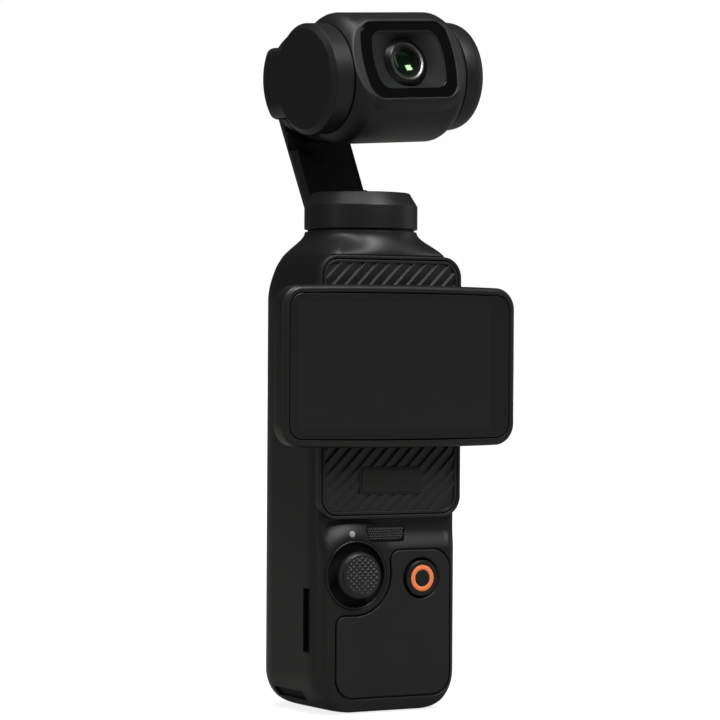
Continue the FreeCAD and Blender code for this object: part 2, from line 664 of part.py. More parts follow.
def front_shell():
    """The front wall with the island's bed and the openings for the controls."""
    front_half = block("front_half", ("-(%s)" % WIDE, WIDE),
                       ("-(body_front + 4)", "-split_front - seam_gap"), ("-1", "seam_height"))
    lower = common("front_lower", handle_outer, front_half)
    bed = tile("island_bed", island_width, "island_height", "island_round",
               ("-island_floor", "-split_front - seam_gap"), (0, "island_middle"))
    solid = join("front_solid", lower, bed)
    low_room = common("lower_room", handle_inner,
                      block("lower_room_box", ("-(%s)" % WIDE, WIDE),
                            ("-body_front", "0"), ("0", "island_low - casing_wall / 2")))
    high_room = tile("island_room", "(body_half - casing_wall) * 2",
                     "island_height - casing_wall * 2", "island_round - casing_wall / 2",
                     ("-island_floor + casing_wall", "0"), (0, "island_middle"))
    clearing = tile("island_clearing", island_width + " + 0.02", "island_height + 0.02",
                    "island_round", ("-body_front - 2", "-island_floor"), (0, "island_middle"))
    hollow = cut("front_hollow", solid, low_room, high_room, clearing)
    stick_at = ("-stick_x", "stick_z")
    well = join("front_with_well", hollow,
                rod("well_cup", "y", "well_radius + well_wall",
                    ("-body_front + 0.3", "-well_floor + well_wall"), stick_at))
    openings = [
        rod("well_room", "y", "well_radius", ("-body_front - 1", "-well_floor"), stick_at),
        rod("rim_seat", "y", "well_radius + rim_width + running_gap",
            ("-body_front - 1", "-body_front + 0.6"), stick_at),
        rod("stem_opening", "y", "stem_hole", ("-body_front", "-well_floor + 3"), stick_at),
        rod("record_opening", "y", "record_radius + record_gap",
            ("-body_front - 1", "-body_front + 3"), ("record_x", "record_z")),
        rod("light_opening", "y", "light_radius + running_gap",
            ("-body_front - 1", "-body_front + 3"), ("-light_x", "grille_z")),
        rod("bush_opening", "y", "hinge_radius + bush_wall + running_gap",
            ("-body_front - 1", "-island_floor + 3"), ("hinge_x", "hinge_z")),
        grille_outline("grille_seat", "plate_gap", ("-body_front - 1", "-body_front + grille_depth + 0.1")),
        grille_outline("sound_opening", "-0.5", ("-body_front", "-body_front + 3")),
        pad_outline("pad_seat", "0", ("-body_front - 1", "-body_front + pad_recess")),
        card_opening("front_card_opening"),
    ]
    return cut("front_casing", well, *openings)


def grille_outline(name, margin, faces):
    """The grille's outline, wider at its top, grown by a margin."""
    top = "grille_width / 2 + (%s)" % margin
    foot = "grille_foot / 2 + (%s)" % margin
    tall = "grille_height / 2 + (%s)" % margin
    outline = [("-(%s)" % foot, "-(%s)" % tall), (foot, "-(%s)" % tall), (top, tall),
               ("-(%s)" % top, tall)]
    made = prism(name, "XZ_Plane", outline, "(%s) - (%s)" % (faces[1], faces[0]))
    return seat(made, "-grille_x", faces[1], "grille_z")


def pad_outline(name, margin, faces):
    """The soft pad's outline, stepped down round the joystick, shrunk by a margin."""
    whole = tile(name + "_whole", "pad_left + pad_right - 2 * (%s)" % margin,
                 "pad_high - pad_low - 2 * (%s)" % margin, "pad_round - (%s)" % margin, faces,
                 ("(pad_right - pad_left) / 2", "(pad_high + pad_low) / 2"))
    deep = ("(%s) - 1" % faces[0], "(%s) + 1" % faces[1])
    above = ("pad_step - (%s)" % margin, "pad_high + 1")
    beside = block(name + "_beside", ("-pad_left - 1", "-stick_x + pad_moat * 0.3"), deep, above)
    over = block(name + "_over", ("-pad_left - 1", "-stick_x + pad_moat + (%s)" % margin), deep,
                 ("stick_z", "pad_high + 1"))
    bay = rod(name + "_bay", "y", "pad_moat + (%s)" % margin, deep, ("-stick_x", "stick_z"))
    button = rod(name + "_button", "y", "record_radius + record_gap", deep,
                 ("record_x", "record_z"))
    return cut(name, whole, beside, over, bay, button)


def shoulder_shell():
    """The shoulder that narrows from the handle's section to the round neck."""
    island_room = tile("shoulder_notch", island_width + " + seam_gap * 2",
                       "island_height + seam_gap * 2", "island_round",
                       ("-body_front - 2", "-split_front + seam_gap"), (0, "island_middle"))
    bore = rod("neck_bore", "z", "collar_spigot + plate_gap",
               ("shoulder_top - 8", "shoulder_top + 2"))
    return cut("shoulder_casing", shoulder_outer, shoulder_inner, island_room, bore)


def island_frame():
    """The narrow frame that stands round the ribbed plate."""
    faces = ("-island_front", "-island_floor")
    outside = tile("frame_outside", island_width, "island_height", "island_round", faces,
                   (0, "island_middle"))
    inside = tile("frame_inside", island_width + " - frame_strip * 2",
                  "island_height - frame_strip * 2", "island_round - frame_strip",
                  ("-island_front - 1", "-island_floor + 1"), (0, "island_middle"))
    return cut("frame_ring", outside, inside)


def rib_bars():
    """Diagonal bars that cover the plate; a common with its field trims them."""
    half_wide, tall = size("body_half"), size("island_height")
    pitch, width = size("rib_pitch"), size("rib_width")
    depth = size("rib_depth")
    reach = half_wide * 2 + tall
    count = int(reach / pitch) + 1
    turn = Rotation(Vector(0, 1, 0), -45)
    bars = []
    for index in range(-count // 2, count // 2 + 1):
        bar = Part.makeBox(reach, depth * 2, width, Vector(-reach / 2, -depth, -width / 2))
        bar.Placement = Placement(
            Vector(index * pitch, -size("island_front"), size("island_middle")), turn)
        bars.append(bar)
    return stated("rib_bars", Part.makeCompound(bars))


def ribbed_plate():
    """The plate under the screen: diagonal ribs on a sunk field, and a badge seat."""
    lane = "frame_strip + plate_gap"
    middle = (0, "island_middle")
    plate = tile("plate_blank", island_width + " - (%s) * 2" % lane,
                 "island_height - (%s) * 2" % lane, "island_round - (%s)" % lane,
                 ("-island_front", "-island_floor"), middle)
    border = lane + " + rib_border"
    field = tile("plate_field", island_width + " - (%s) * 2" % border,
                 "island_height - (%s) * 2" % border, "island_round - (%s)" % border,
                 ("-island_front - 1", "-island_front + rib_depth"), middle)
    kept = tile("badge_bed", "badge_width + 1", "badge_height + 1", "0.6",
                ("-island_front - 1", "-island_front + rib_depth"), (0, "badge_middle"))
    sunk = cut("sunk_field", cut("open_field", field, kept), rib_bars())
    hole = rod("plate_hole", "y", "hinge_radius + bush_wall + 0.1",
               ("-island_front - 1", "-island_floor + 1"), ("hinge_x", "hinge_z"))
    badge_seat = tile("badge_seat", "badge_width + running_gap * 2",
                      "badge_height + running_gap * 2", "0.6",
                      ("-island_front - 1", "-island_front + rib_depth"), (0, "badge_middle"))
    return cut("plate_cut", plate, sunk, hole, badge_seat)


def joystick_base():
    """The sensor base on the main board, whose two ears carry the cradle."""
    inner = "gimbal_ring + ear_gap"
    outer = "gimbal_ring + ear_gap + ear_width"
    floor = block("stick_floor", ("-stick_x - (%s)" % outer, "-stick_x + %s" % outer),
                  ("-board_front - 0.8", "-board_front"),
                  ("stick_z - gimbal_ring", "stick_z + gimbal_ring"))
    ears = [block("stick_ear_" + side, (low, high), ("-stick_pivot - 1.3", "-board_front - 0.4"),
                  ("stick_z - 1.3", "stick_z + 1.3"))
            for side, low, high in (
                ("left", "-stick_x - (%s)" % outer, "-stick_x - (%s)" % inner),
                ("right", "-stick_x + %s" % inner, "-stick_x + %s" % outer))]
    bearing = rod("ear_holes", "x", "trunnion_radius + running_gap",
                  ("-stick_x - 8", "-stick_x + 8"), ("-stick_pivot", "stick_z"))
    return cut("stick_base", join("stick_frame", floor, *ears), bearing)


def joystick_cradle():
    """The square ring that tips up and down on its trunnions."""
    outer = "gimbal_ring"
    inner = "gimbal_ring - gimbal_wall"
    deep = ("-stick_pivot - gimbal_thick", "-stick_pivot + gimbal_thick")
    ring = block("cradle_outside", ("-stick_x - " + outer, "-stick_x + " + outer), deep,
                 ("stick_z - " + outer, "stick_z + " + outer))
    room = block("cradle_room", ("-stick_x - (%s)" % inner, "-stick_x + " + inner),
                 ("-stick_pivot - 3", "-stick_pivot + 3"),
                 ("stick_z - (%s)" % inner, "stick_z + " + inner))
    reach = "gimbal_ring + ear_gap + ear_width"
    ends = [rod("trunnion_" + side, "x", "trunnion_radius", bounds, ("-stick_pivot", "stick_z"))
            for side, bounds in (
                ("left", ("-stick_x - (%s)" % reach, "-stick_x - (%s)" % inner)),
                ("right", ("-stick_x + %s" % inner, "-stick_x + %s" % reach)))]
    holes = rod("cradle_holes", "z", "trunnion_radius + running_gap",
                ("stick_z - 5", "stick_z + 5"), ("-stick_x", "-stick_pivot"))
    return cut("cradle", join("cradle_ring", cut("cradle_frame", ring, room), *ends), holes)


def joystick_stem():
    """The stem with the cross pin that lets it tip sideways in the cradle."""
    stem = rod("stem_rod", "y", "stem_radius", ("-cap_back", "-stick_pivot + stem_radius"),
               ("-stick_x", "stick_z"))
    pin = rod("stem_pin", "z", "trunnion_radius",
              ("stick_z - gimbal_ring + 0.1", "stick_z + gimbal_ring - 0.1"),
              ("-stick_x", "-stick_pivot"))
    return join("stem", stem, pin)


def joystick_cap():
    """The thumb cap: a low disc with a rounded skirt and a flat face."""
    skirt = 0.35  # share of the cap's depth that is straight
    edge = "cap_back + (cap_front - cap_back) * %g" % skirt
    low = rod("cap_skirt", "y", "cap_radius", ("-(%s)" % edge, "-cap_back"),
              ("-stick_x", "stick_z"))
    dome = taper("cap_dome", "y", ("knurl_radius + 0.1", "cap_radius"),
                 ("-cap_front", "-(%s)" % edge), ("-stick_x", "stick_z"))
    return join("thumb_cap", low, dome)


def record_cap():
    """The push cap with its groove for the coloured ring and a hidden flange."""
    at = ("record_x", "record_z")
    face = "-body_front - record_proud"
    cap = rod("record_disc", "y", "record_radius", (face, "-body_front + casing_wall + 0.1"), at)
    flange = rod("record_flange_disc", "y", "record_flange",
                 ("-body_front + casing_wall + 0.1", "-body_front + casing_wall + 0.8"), at)
    groove = tube("record_groove", "y", "mark_outer + running_gap", "mark_inner - running_gap",
                  (face, face + " + mark_depth"), at)
    return cut("record_push", join("record_body", cap, flange), groove)


SCREEN_AT = ("screen_side", "screen_middle")


def screen_housing():
    """The screen's back shell: a rounded tray with a round seat for the hinge."""
    faces = ("-screen_front", "-screen_back")
    tray = tile("tray_blank", "screen_width", "screen_height", "screen_round", faces, SCREEN_AT)
    soft_front = rounded("tray_front", tray, "bezel_edge", in_plane("y", "-screen_front"))
    soft = rounded("tray_soft", soft_front, "screen_edge", in_plane("y", "-screen_back"))
    room = tile("glass_room", "glass_width + plate_gap * 2", "glass_height + plate_gap * 2",
                "glass_round + plate_gap",
                ("-screen_front - 1", "-screen_front + glass_thick + panel_thick"), SCREEN_AT)
    seat_hole = rod("hinge_seat", "y", "hinge_disc + running_gap",
                    ("-screen_back - hinge_sink", "-screen_back + 1"), ("hinge_x", "hinge_z"))
    return cut("screen_tray", soft, room, seat_hole)


def neck_ring():
    """The ring cap that turns with the arm: straight side, sloped edge, hollow below."""
    low = "shoulder_top + collar_rise + neck_gap"
    side = rod("ring_side", "z", "neck_radius", (low, "ring_edge"))
    slope = taper("ring_slope", "z", ("neck_radius", "ring_top_radius"),
                  ("ring_edge", "ring_top"))
    room = rod("ring_room", "z", "ring_cavity", (low + " - 1", "ring_top - ring_roof"))
    return cut("ring_cap", join("ring_solid", side, slope), room)


arm_slope = "(arm_front_top - arm_foot) / (arm_bend - ring_top)"


def arm_outline(name, front, back, half):
    """The leaning arm's side view, carried across it; front and back are insets."""
    low = "arm_low"
    points = [
        ("arm_foot - (ring_top - arm_low) * %s + (%s)" % (arm_slope, front), low),
        ("arm_back_foot - (%s)" % back, low),
        ("arm_back_top - (%s)" % back, "arm_back_bend"),
        ("arm_back_top - (%s)" % back, "head_height"),
        ("arm_front_top + (%s)" % front, "head_height"),
        ("arm_front_top + (%s)" % front, "arm_bend"),
    ]
    return prism(name, "YZ_Plane", points, "(%s) * 2" % half, both_ways=True)


def bracket_sweep(name, gap="0", depth="arm_front_top", notch_depth="notch_back"):
    """The space that the roll bracket turns through, grown by a gap.

    The disc needs a round relief; the side arm needs a wider one, on the left alone.
    """
    at = (0, "head_height")
    disc = rod(name + "_disc", "y", "arm_relief + (%s)" % gap, ("0", depth), at)
    wide = rod(name + "_wide", "y", "notch_radius + (%s)" % gap, ("0", notch_depth), at)
    left = block(name + "_left", ("-arm_half - 2", "-notch_side + (%s)" % gap),
                 ("0", notch_depth), ("ring_top", "head_height"))
    return join(name, disc, common(name + "_notch", wide, left))


def arm_shell():
    """The arm's rear shell and the cup of the roll motor at its head."""
    back = size("arm_back_top")
    slab = rounded("arm_soft", arm_outline("arm_blank", "0", "0", "arm_half"), "arm_back_round",
                   lambda edge: edge.BoundBox.YMax > back - 0.01
                   and edge.BoundBox.XLength < 0.01 < edge.BoundBox.ZLength)
    boss = rod("arm_boss_disc", "y", "arm_boss", ("arm_front_top", "arm_back_top"),
               (0, "head_height"))
    ring = join("ring_footprint", rod("ring_foot", "z", "neck_radius + 0.02",
                                      ("arm_low - 2", "ring_edge")),
                taper("ring_foot_slope", "z", ("neck_radius + 0.02", "ring_top_radius + 0.02"),
                      ("ring_edge", "ring_top + 0.02")))
    cup = rod("motor_cup", "y", "arm_boss - arm_wall",
              ("arm_front_top - 1", "arm_back_top - arm_wall"), (0, "head_height"))
    bed = common("cover_bed",
                 block("cover_bed_box", ("-arm_half + cover_strip", "arm_half - cover_strip"),
                       ("0", "arm_back_top"), ("ring_top", "head_height")),
                 cover_skin("cover_bed_skin", "cover_thick"))
    return cut("arm_body", join("arm_solid", slab, boss), ring, cup, bracket_sweep("arm_relief_a"),
               bed)


def cover_skin(name, thick):
    """A layer on the arm's leaning front face, below the bracket's sweep."""
    points = [
        ("arm_foot - 1 * %s - 2" % arm_slope, "ring_top - 1"),
        ("arm_foot - 1 * %s + (%s)" % (arm_slope, thick), "ring_top - 1"),
        ("arm_front_top + (%s)" % thick, "arm_bend"),
        ("arm_front_top - 2", "arm_bend"),
    ]
    skin = prism(name + "_side", "YZ_Plane", points, "arm_half * 2 + 2", both_ways=True)
    return cut(name, skin, bracket_sweep(name + "_sweep", "cover_strip", "arm_back_top",
                                         "arm_back_top"))


def arm_cover():
    """The thin cover on the arm's front face."""
    points = [
        ("arm_foot + 0.05 * %s" % arm_slope, "ring_top + 0.05"),
        ("arm_foot + 0.05 * %s + cover_thick - plate_gap" % arm_slope, "ring_top + 0.05"),
        ("arm_front_top + cover_thick - plate_gap", "arm_bend"),
        ("arm_front_top", "arm_bend"),
    ]
    skin = prism("cover_side", "YZ_Plane", points,
                 "(arm_half - cover_strip - plate_gap) * 2", both_ways=True)
    holes = arm_screw_rods("cover_screw_holes", "arm_screw_radius + running_gap")
    return cut("cover", skin,
               bracket_sweep("cover_sweep", "cover_strip + plate_gap", "arm_back_top",
                             "arm_back_top"), holes)


def arm_screw_rods(name, radius):
    """Two short rods across the arm's cover, which end inside it."""
    front = "arm_foot + arm_screw_rise * " + arm_slope
    rods = [rod(name + side, "y", radius, (front + " + 0.1", front + " + cover_thick * 0.6"),
                (sign + "arm_screw_x", "ring_top + arm_screw_rise"))
            for side, sign in (("_left", "-"), ("_right", ""))]
    return join(name, *rods)


def bracket_arm():
    """The side arm: flat outside, with a rear end that is round both ways."""
    slab = block("bracket_slab", ("-drum_face", "0"), ("0", "bracket_back + 1"),
                 ("-bracket_half", "bracket_half"))
    curve = rod("bracket_curve", "x", "bracket_arc", ("-drum_face - 1", "1"),
                ("bracket_back - bracket_arc", "0"))
    outside = "-drum_face"

    def rear_edge(edge):
        box = edge.BoundBox
        level = size(outside)
        return abs(box.XMin - level) < 0.01 and abs(box.XMax - level) < 0.01 and (
            box.YMax > size("bracket_front"))
    solid = rounded("bracket_arm_soft", common("bracket_arm_blank", slab, curve),
                    "bracket_turn", rear_edge)
    room = block("bracket_arm_room", ("-drum_face + side_thick", "1"), ("-1", "bracket_front"),
                 ("-bracket_half - 1", "bracket_half + 1"))
    return cut("bracket_arm", solid, room)


def roll_bracket():
    """Rear disc, side arm and tilt drum in one moulding, open at the front right."""
    plate = rod("bracket_disc", "y", "bracket_radius", ("bracket_front", "bracket_back"))
    soft = rounded("bracket_disc_soft", plate, "bracket_edge", in_plane("y", "bracket_back"))
    drum = rod("drum_side", "x", "drum_radius", ("-drum_face + 0.9", "-drum_end"))
    face = taper("drum_slope", "x", ("drum_face_radius", "drum_radius"),
                 ("-drum_face", "-drum_face + 0.9"))
    solid = join("bracket_solid", soft, bracket_arm(), drum, face)
    room = rod("drum_room", "x", "drum_radius - drum_wall",
               ("-drum_face + drum_wall", "-drum_end + 1"))
    socket = rod("roll_socket", "y", "shaft_radius + 0.02", ("bracket_front + 1", "bracket_back + 1"))
    return cut("bracket", solid, room, socket)


def camera_barrel():
    """The barrel round the tilt axis, with a raised lip for the window."""
    outside = turned("barrel_turned", [
        ("-barrel_left", "0"),
        ("-barrel_left", "barrel_end_radius"),
        ("-barrel_left + barrel_slope_left * 0.3", "barrel_radius - 0.95"),
        ("-barrel_left + barrel_slope_left * 0.65", "barrel_radius - 0.25"),
        ("-barrel_left + barrel_slope_left", "barrel_radius"),
        ("barrel_right - barrel_slope_right", "barrel_radius"),
        ("barrel_right - barrel_slope_right * 0.65", "barrel_radius - 0.25"),
        ("barrel_right - barrel_slope_right * 0.3", "barrel_radius - 0.95"),
        ("barrel_right", "barrel_end_radius"),
        ("barrel_right", "0"),
    ])
    lens_at = ("lens_x", 0)
    lip = tile("window_lip_block", "window_width + window_lip * 2",
               "window_height + window_lip * 2", "window_round + window_lip",
               ("-window_front", "-window_front + 4"), lens_at)
    ahead = block("window_clearing", ("-20", "30"), ("-window_front - 5", "-window_front"),
                  ("-20", "20"))
    room = turned("barrel_room", [
        ("-barrel_left + barrel_wall", "0"),
        ("-barrel_left + barrel_wall", "barrel_end_radius - barrel_wall"),
        ("-barrel_left + barrel_slope_left", "barrel_radius - barrel_wall"),
        ("barrel_right - barrel_slope_right", "barrel_radius - barrel_wall"),
        ("barrel_right - 1", "barrel_end_radius - barrel_wall"),
        ("barrel_right + 1", "barrel_end_radius - barrel_wall"),
        ("barrel_right + 1", "0"),
    ])
    bed = block("window_bed", ("lens_x - window_width / 2 - 1", "lens_x + window_width / 2 + 1"),
                ("-window_front - 2", "-window_front + window_thick + barrel_wall"), ("-14", "14"))
    window = tile("window_seat", "window_width + running_gap * 2",
                  "window_height + running_gap * 2", "window_round",
                  ("-window_front - 1", "-window_front + window_thick"), lens_at)
    eye = rod("lens_opening", "y", "lens_rim + running_gap",
              ("-window_front - 1", "-window_front + window_thick + barrel_wall + 1"), lens_at)
    socket = rod("tilt_socket", "x", "shaft_radius + 0.02", ("-barrel_left - 1", "-barrel_left + 0.9"))
    solid = join("barrel_solid", outside, lip)
    return cut("barrel", solid, ahead, cut("barrel_hollow", room, bed), window, eye, socket)


def end_cap():
    """The rounded cap that closes the barrel's right end."""
    edge = "cap_face - cap_slope"
    start = "barrel_right + cap_gap"
    return turned("cap_turned", [
        ("barrel_right - 1.4", "0"),
        ("barrel_right - 1.4", "barrel_end_radius - barrel_wall - plate_gap"),
        (start, "barrel_end_radius - barrel_wall - plate_gap"),
        (start, "barrel_end_radius"),
        (edge, "barrel_end_radius - 0.1"),
        (edge + " + cap_slope * 0.5", "cap_rim_radius + (barrel_end_radius - cap_rim_radius) * 0.72"),
        (edge + " + cap_slope * 0.85", "cap_rim_radius + (barrel_end_radius - cap_rim_radius) * 0.3"),
        ("cap_face", "cap_rim_radius"),
        ("cap_face", "0"),
    ])


def make_handle():
    piece("rear_shell", rear_shell())
    piece("front_shell", front_shell())
    piece("shoulder_shell", shoulder_shell())
    piece("island_frame", island_frame())
    piece("ribbed_plate", ribbed_plate())
    piece("badge_plate", tile("badge", "badge_width", "badge_height", "0.6",
                              ("-island_front - badge_proud", "-island_front + rib_depth"),
                              (0, "badge_middle")))
    piece("grip_pad", pad_outline("pad", "plate_gap",
                                  ("-body_front - pad_proud", "-body_front + pad_recess")))
    piece("speaker_grille", speaker_grille())
    piece("speaker_unit", block("speaker", ("-grille_x - 4.2", "-grille_x + 4.2"),
                                ("-body_front + casing_wall", "-body_front + casing_wall + 2.4"),
                                ("grille_z - 1.2", "grille_z + 1.2")))
    light = rod("light_pipe", "y", "light_radius", ("-body_front", "-body_front + casing_wall"),
                ("-light_x", "grille_z"))
    flange = rod("light_flange", "y", "light_radius + 0.5",
                 ("-body_front + casing_wall", "-body_front + casing_wall + 0.5"),
                 ("-light_x", "grille_z"))
    piece("status_light", join("light", light, flange))
    piece("joystick_rim", tube("stick_rim", "y", "well_radius + rim_width", "well_radius",
                               ("-body_front - rim_proud", "-body_front + 0.6"),
                               ("-stick_x", "stick_z")))
    piece("joystick_base", joystick_base())
    half = "switch_side / 2"
    piece("record_switch", block("switch", ("record_x - " + half, "record_x + " + half),
                                 ("-board_front - switch_tall", "-board_front"),
                                 ("record_z - " + half, "record_z + " + half)))


def speaker_grille():
    """The perforated grille, a thin plate with rows of small staggered holes."""
    plate = grille_outline("grille_plate", "0", ("-body_front + 0.1", "-body_front + 0.1 + grille_depth"))
    pitch, border = size("grille_pitch"), size("grille_border")
    rows = int((size("grille_height") - border) / pitch)
    full = int((size("grille_foot") - border) / pitch) + 1
    holes = []
    for row in range(rows):
        height = (row - (rows - 1) / 2) * pitch
        count = full - row % 2
        for index in range(count):
            across = (index - (count - 1) / 2) * pitch
            holes.append(Part.makeCylinder(
                size("grille_hole"), size("grille_depth") + 1,
                Vector(across - size("grille_x"), -size("body_front") - 0.4,
                       size("grille_z") + height), Vector(0, 1, 0)))
    return cut("grille", plate, stated("grille_holes", Part.makeCompound(holes)))


def make_inside():
    """Board, frame, battery and sockets: what the handle holds."""
    half = "board_half"
    board_back = "-board_front + board_thick"
    frame_front = board_back + " + frame_gap"
    frame_back = frame_front + " + frame_thick"
    inner = "body_half - casing_wall - running_gap"
    piece("main_board", block("board", ("-" + half, half), ("-board_front", board_back),
                              ("board_low", "board_high")))
    plate = block("frame_plate", ("-(%s)" % inner, inner), (frame_front, frame_back),
                  ("board_low", "board_high"))
    posts = [rod("frame_post_%s%s" % (side, level), "y", "1.5", (board_back, frame_front),
                 (x, z))
             for side, x in (("left_", "-board_half + 3"), ("right_", "board_half - 3"))
             for level, z in (("low", "board_low + 3"), ("middle", "island_middle - 15"),
                              ("high", "board_high - 3"))]
    piece("inner_frame", join("frame", plate, *posts))
    cell = block("cell", ("-cell_half", "cell_half"), (frame_back, frame_back + " + cell_thick"),
                 ("board_low", "cell_high"))
    upright = rounded("cell_soft", cell, "1.5", lambda edge: edge.BoundBox.ZLength > size("cell_thick"))
    piece("battery_cell", upright)
    piece("card_socket", card_socket())
    piece("charging_socket", charging_socket())
    piece("charging_tongue", block("tongue", ("-tongue_width / 2", "tongue_width / 2"),
                                   ("port_back - tongue_thick / 2", "port_back + tongue_thick / 2"),
                                   ("casing_wall", "port_depth - 0.4")))
    heads = [rod("board_screw_%s%s" % (side, level), "y", "screw_radius * 1.6",
                 ("-board_front - 0.9", "-board_front"), (x, z))
             for side, x in (("left_", "-board_half + 3"), ("right_", "board_half - 3"))
             for level, z in (("middle", "island_middle - 15"), ("high", "board_high - 3"))]
    group = doc.addObject("Part::Compound", "board_screw_group")
    group.Links = heads
    piece("board_screws", group)


def card_socket():
    """The memory card socket on the board, open to the slot in the left side."""
    box = block("card_box", ("-body_half + casing_wall + card_inset", "-body_half + card_depth"),
                ("-slot_front + plate_gap", "-board_front"),
                ("slot_low + card_inset", "slot_high - card_inset * 4"))
    slot = block("card_room", ("-body_half", "-body_half + card_depth - 0.8"),
                 ("-slot_front + card_inset + plate_gap", "-slot_back"),
                 ("slot_low + card_inset * 3", "slot_high - card_inset * 6"))
    return cut("card_case", box, slot)


def charging_socket():
    """A flat tube with round ends in the foot, closed at its inner end."""
    outside = tile_hole("port_outside", "port_width", "port_height",
                        ("0.4", "port_depth + 0.4"), "port_back")
    inside = tile_hole("port_inside", "port_width - port_wall * 2", "port_height - port_wall * 2",
                       ("-1", "port_depth - 0.4"), "port_back")
    return cut("port_shell", outside, inside)


def make_screen():
    piece("screen_housing", screen_housing())
    front = "-screen_front"
    piece("screen_glass", tile("glass", "glass_width", "glass_height", "glass_round",
                               (front, front + " + glass_thick"), SCREEN_AT))
    piece("display_panel", tile("panel", "glass_width - 1.6", "glass_height - 1.6", "1.5",
                                (front + " + glass_thick",
                                 front + " + glass_thick + panel_thick"), SCREEN_AT))
    at = ("hinge_x", "hinge_z")
    piece("hinge_plate", rod("plate_disc", "y", "hinge_disc",
                             ("-screen_back - hinge_sink", "-screen_back - 0.05"), at))
    shaft_end = "-island_floor + casing_wall + 1.6"
    piece("hinge_shaft", rod("swivel_shaft", "y", "hinge_radius",
                             ("-screen_back - 0.05", shaft_end), at))
    piece("hinge_washer", tube("swivel_washer", "y", "washer_radius", "hinge_radius + 0.01",
                               (shaft_end + " - washer_thick", shaft_end), at))
    bush = tube("bush_tube", "y", "hinge_radius + bush_wall", "hinge_radius + running_gap",
                ("-island_front + 0.1", "-island_floor + casing_wall"), at)
    collar = tube("bush_collar", "y", "hinge_radius + bush_wall + 1",
                  "hinge_radius + running_gap",
                  ("-island_floor + casing_wall", "-island_floor + casing_wall + 0.7"), at)
    piece("hinge_bush", join("bush", bush, collar))


def make_controls():
    at = ("-stick_x", "stick_z")
    piece("joystick_cradle", joystick_cradle())
    piece("joystick_stem", joystick_stem())
    piece("joystick_cap", joystick_cap())
    piece("joystick_grip", rod("knurl", "y", "knurl_radius",
                               ("-cap_front - knurl_height", "-cap_front"), at))
    piece("record_cap", record_cap())
    at = ("record_x", "record_z")
    face = "-body_front - record_proud"
    piece("record_ring", tube("ring_mark", "y", "mark_outer", "mark_inner",
                              (face + " - 0.02", face + " + mark_depth"), at))
    piece("record_plunger", rod("plunger", "y", "plunger_radius",
                                ("-body_front + casing_wall + 0.8",
                                 "-board_front - switch_tall - record_stroke - 0.1"), at))


def make_neck():
    """Pan motor: a collar in the shoulder carries the stator and the bearing."""
    rim = "shoulder_top + collar_rise"
    low = "shoulder_top - collar_depth"
    bearing_low = rim + " - 3.8"
    collar = join("collar_solid", rod("collar_flange", "z", "collar_radius", ("shoulder_top", rim)),
                  rod("collar_body", "z", "collar_spigot", (low, "shoulder_top")))
    seat_bore = rod("collar_bore", "z", "bearing_radius + 0.02", (bearing_low, rim + " + 1"))
    way = rod("collar_way", "z", "shaft_radius + 0.6", (low + " - 1", rim))
    piece("neck_collar", cut("collar", collar, seat_bore, way))
    piece("pan_bearing", tube("neck_bearing", "z", "bearing_radius",
                              "shaft_radius + running_gap", (bearing_low, rim)))
    roof = "ring_top - ring_roof"
    piece("pan_stator", tube("neck_stator", "z", "ring_cavity - motor_gap",
                             "bearing_radius + 0.4", (rim, roof + " - motor_gap")))
    piece("neck_ring", neck_ring(), "pan")
    piece("pan_shaft", rod("neck_shaft", "z", "shaft_radius", (bearing_low + " - 1", roof)), "pan")


def make_arm():
    piece("arm_shell", arm_shell(), "pan")
    piece("arm_cover", arm_cover(), "pan")
    piece("arm_screws", arm_screw_rods("arm_screw", "arm_screw_radius"), "pan")
    boot = block("boot", ("arm_half - 4.6", "arm_half - 0.2"), ("arm_foot - 1.4", "arm_foot - 0.1"),
                 ("ring_top", "ring_top + 1.2"))
    piece("cable_boot", rounded("boot_soft", boot, "0.5",
                                lambda edge: edge.BoundBox.ZMin > size("ring_top + 0.1")), "pan")
    at = (0, "head_height")
    floor = "arm_back_top - arm_wall"
    piece("roll_stator", tube("arm_stator", "y", "arm_boss - arm_wall - 0.1",
                              "bearing_radius + 0.4", ("arm_front_top + 0.6", floor), at), "pan")
    piece("roll_bearing", tube("arm_bearing", "y", "bearing_radius + 0.35",
                               "shaft_radius + running_gap", (floor + " - 2.6", floor), at), "pan")


def make_roll():
    piece("roll_bracket", roll_bracket(), "roll")
    floor = "arm_back_top - arm_wall"
    piece("roll_shaft", rod("bracket_shaft", "y", "shaft_radius",
                            ("bracket_front + 1", floor + " - 0.1")), "roll")
    base = "-drum_face + drum_wall"
    piece("tilt_stator", tube("drum_stator", "x", "drum_radius - drum_wall - 0.1",
                              "bearing_radius + 0.4", (base, "-drum_end - 0.4")), "roll")
    piece("tilt_bearing", tube("drum_bearing", "x", "bearing_radius + 0.35",
                               "shaft_radius + running_gap", (base, base + " + 2.6")), "roll")


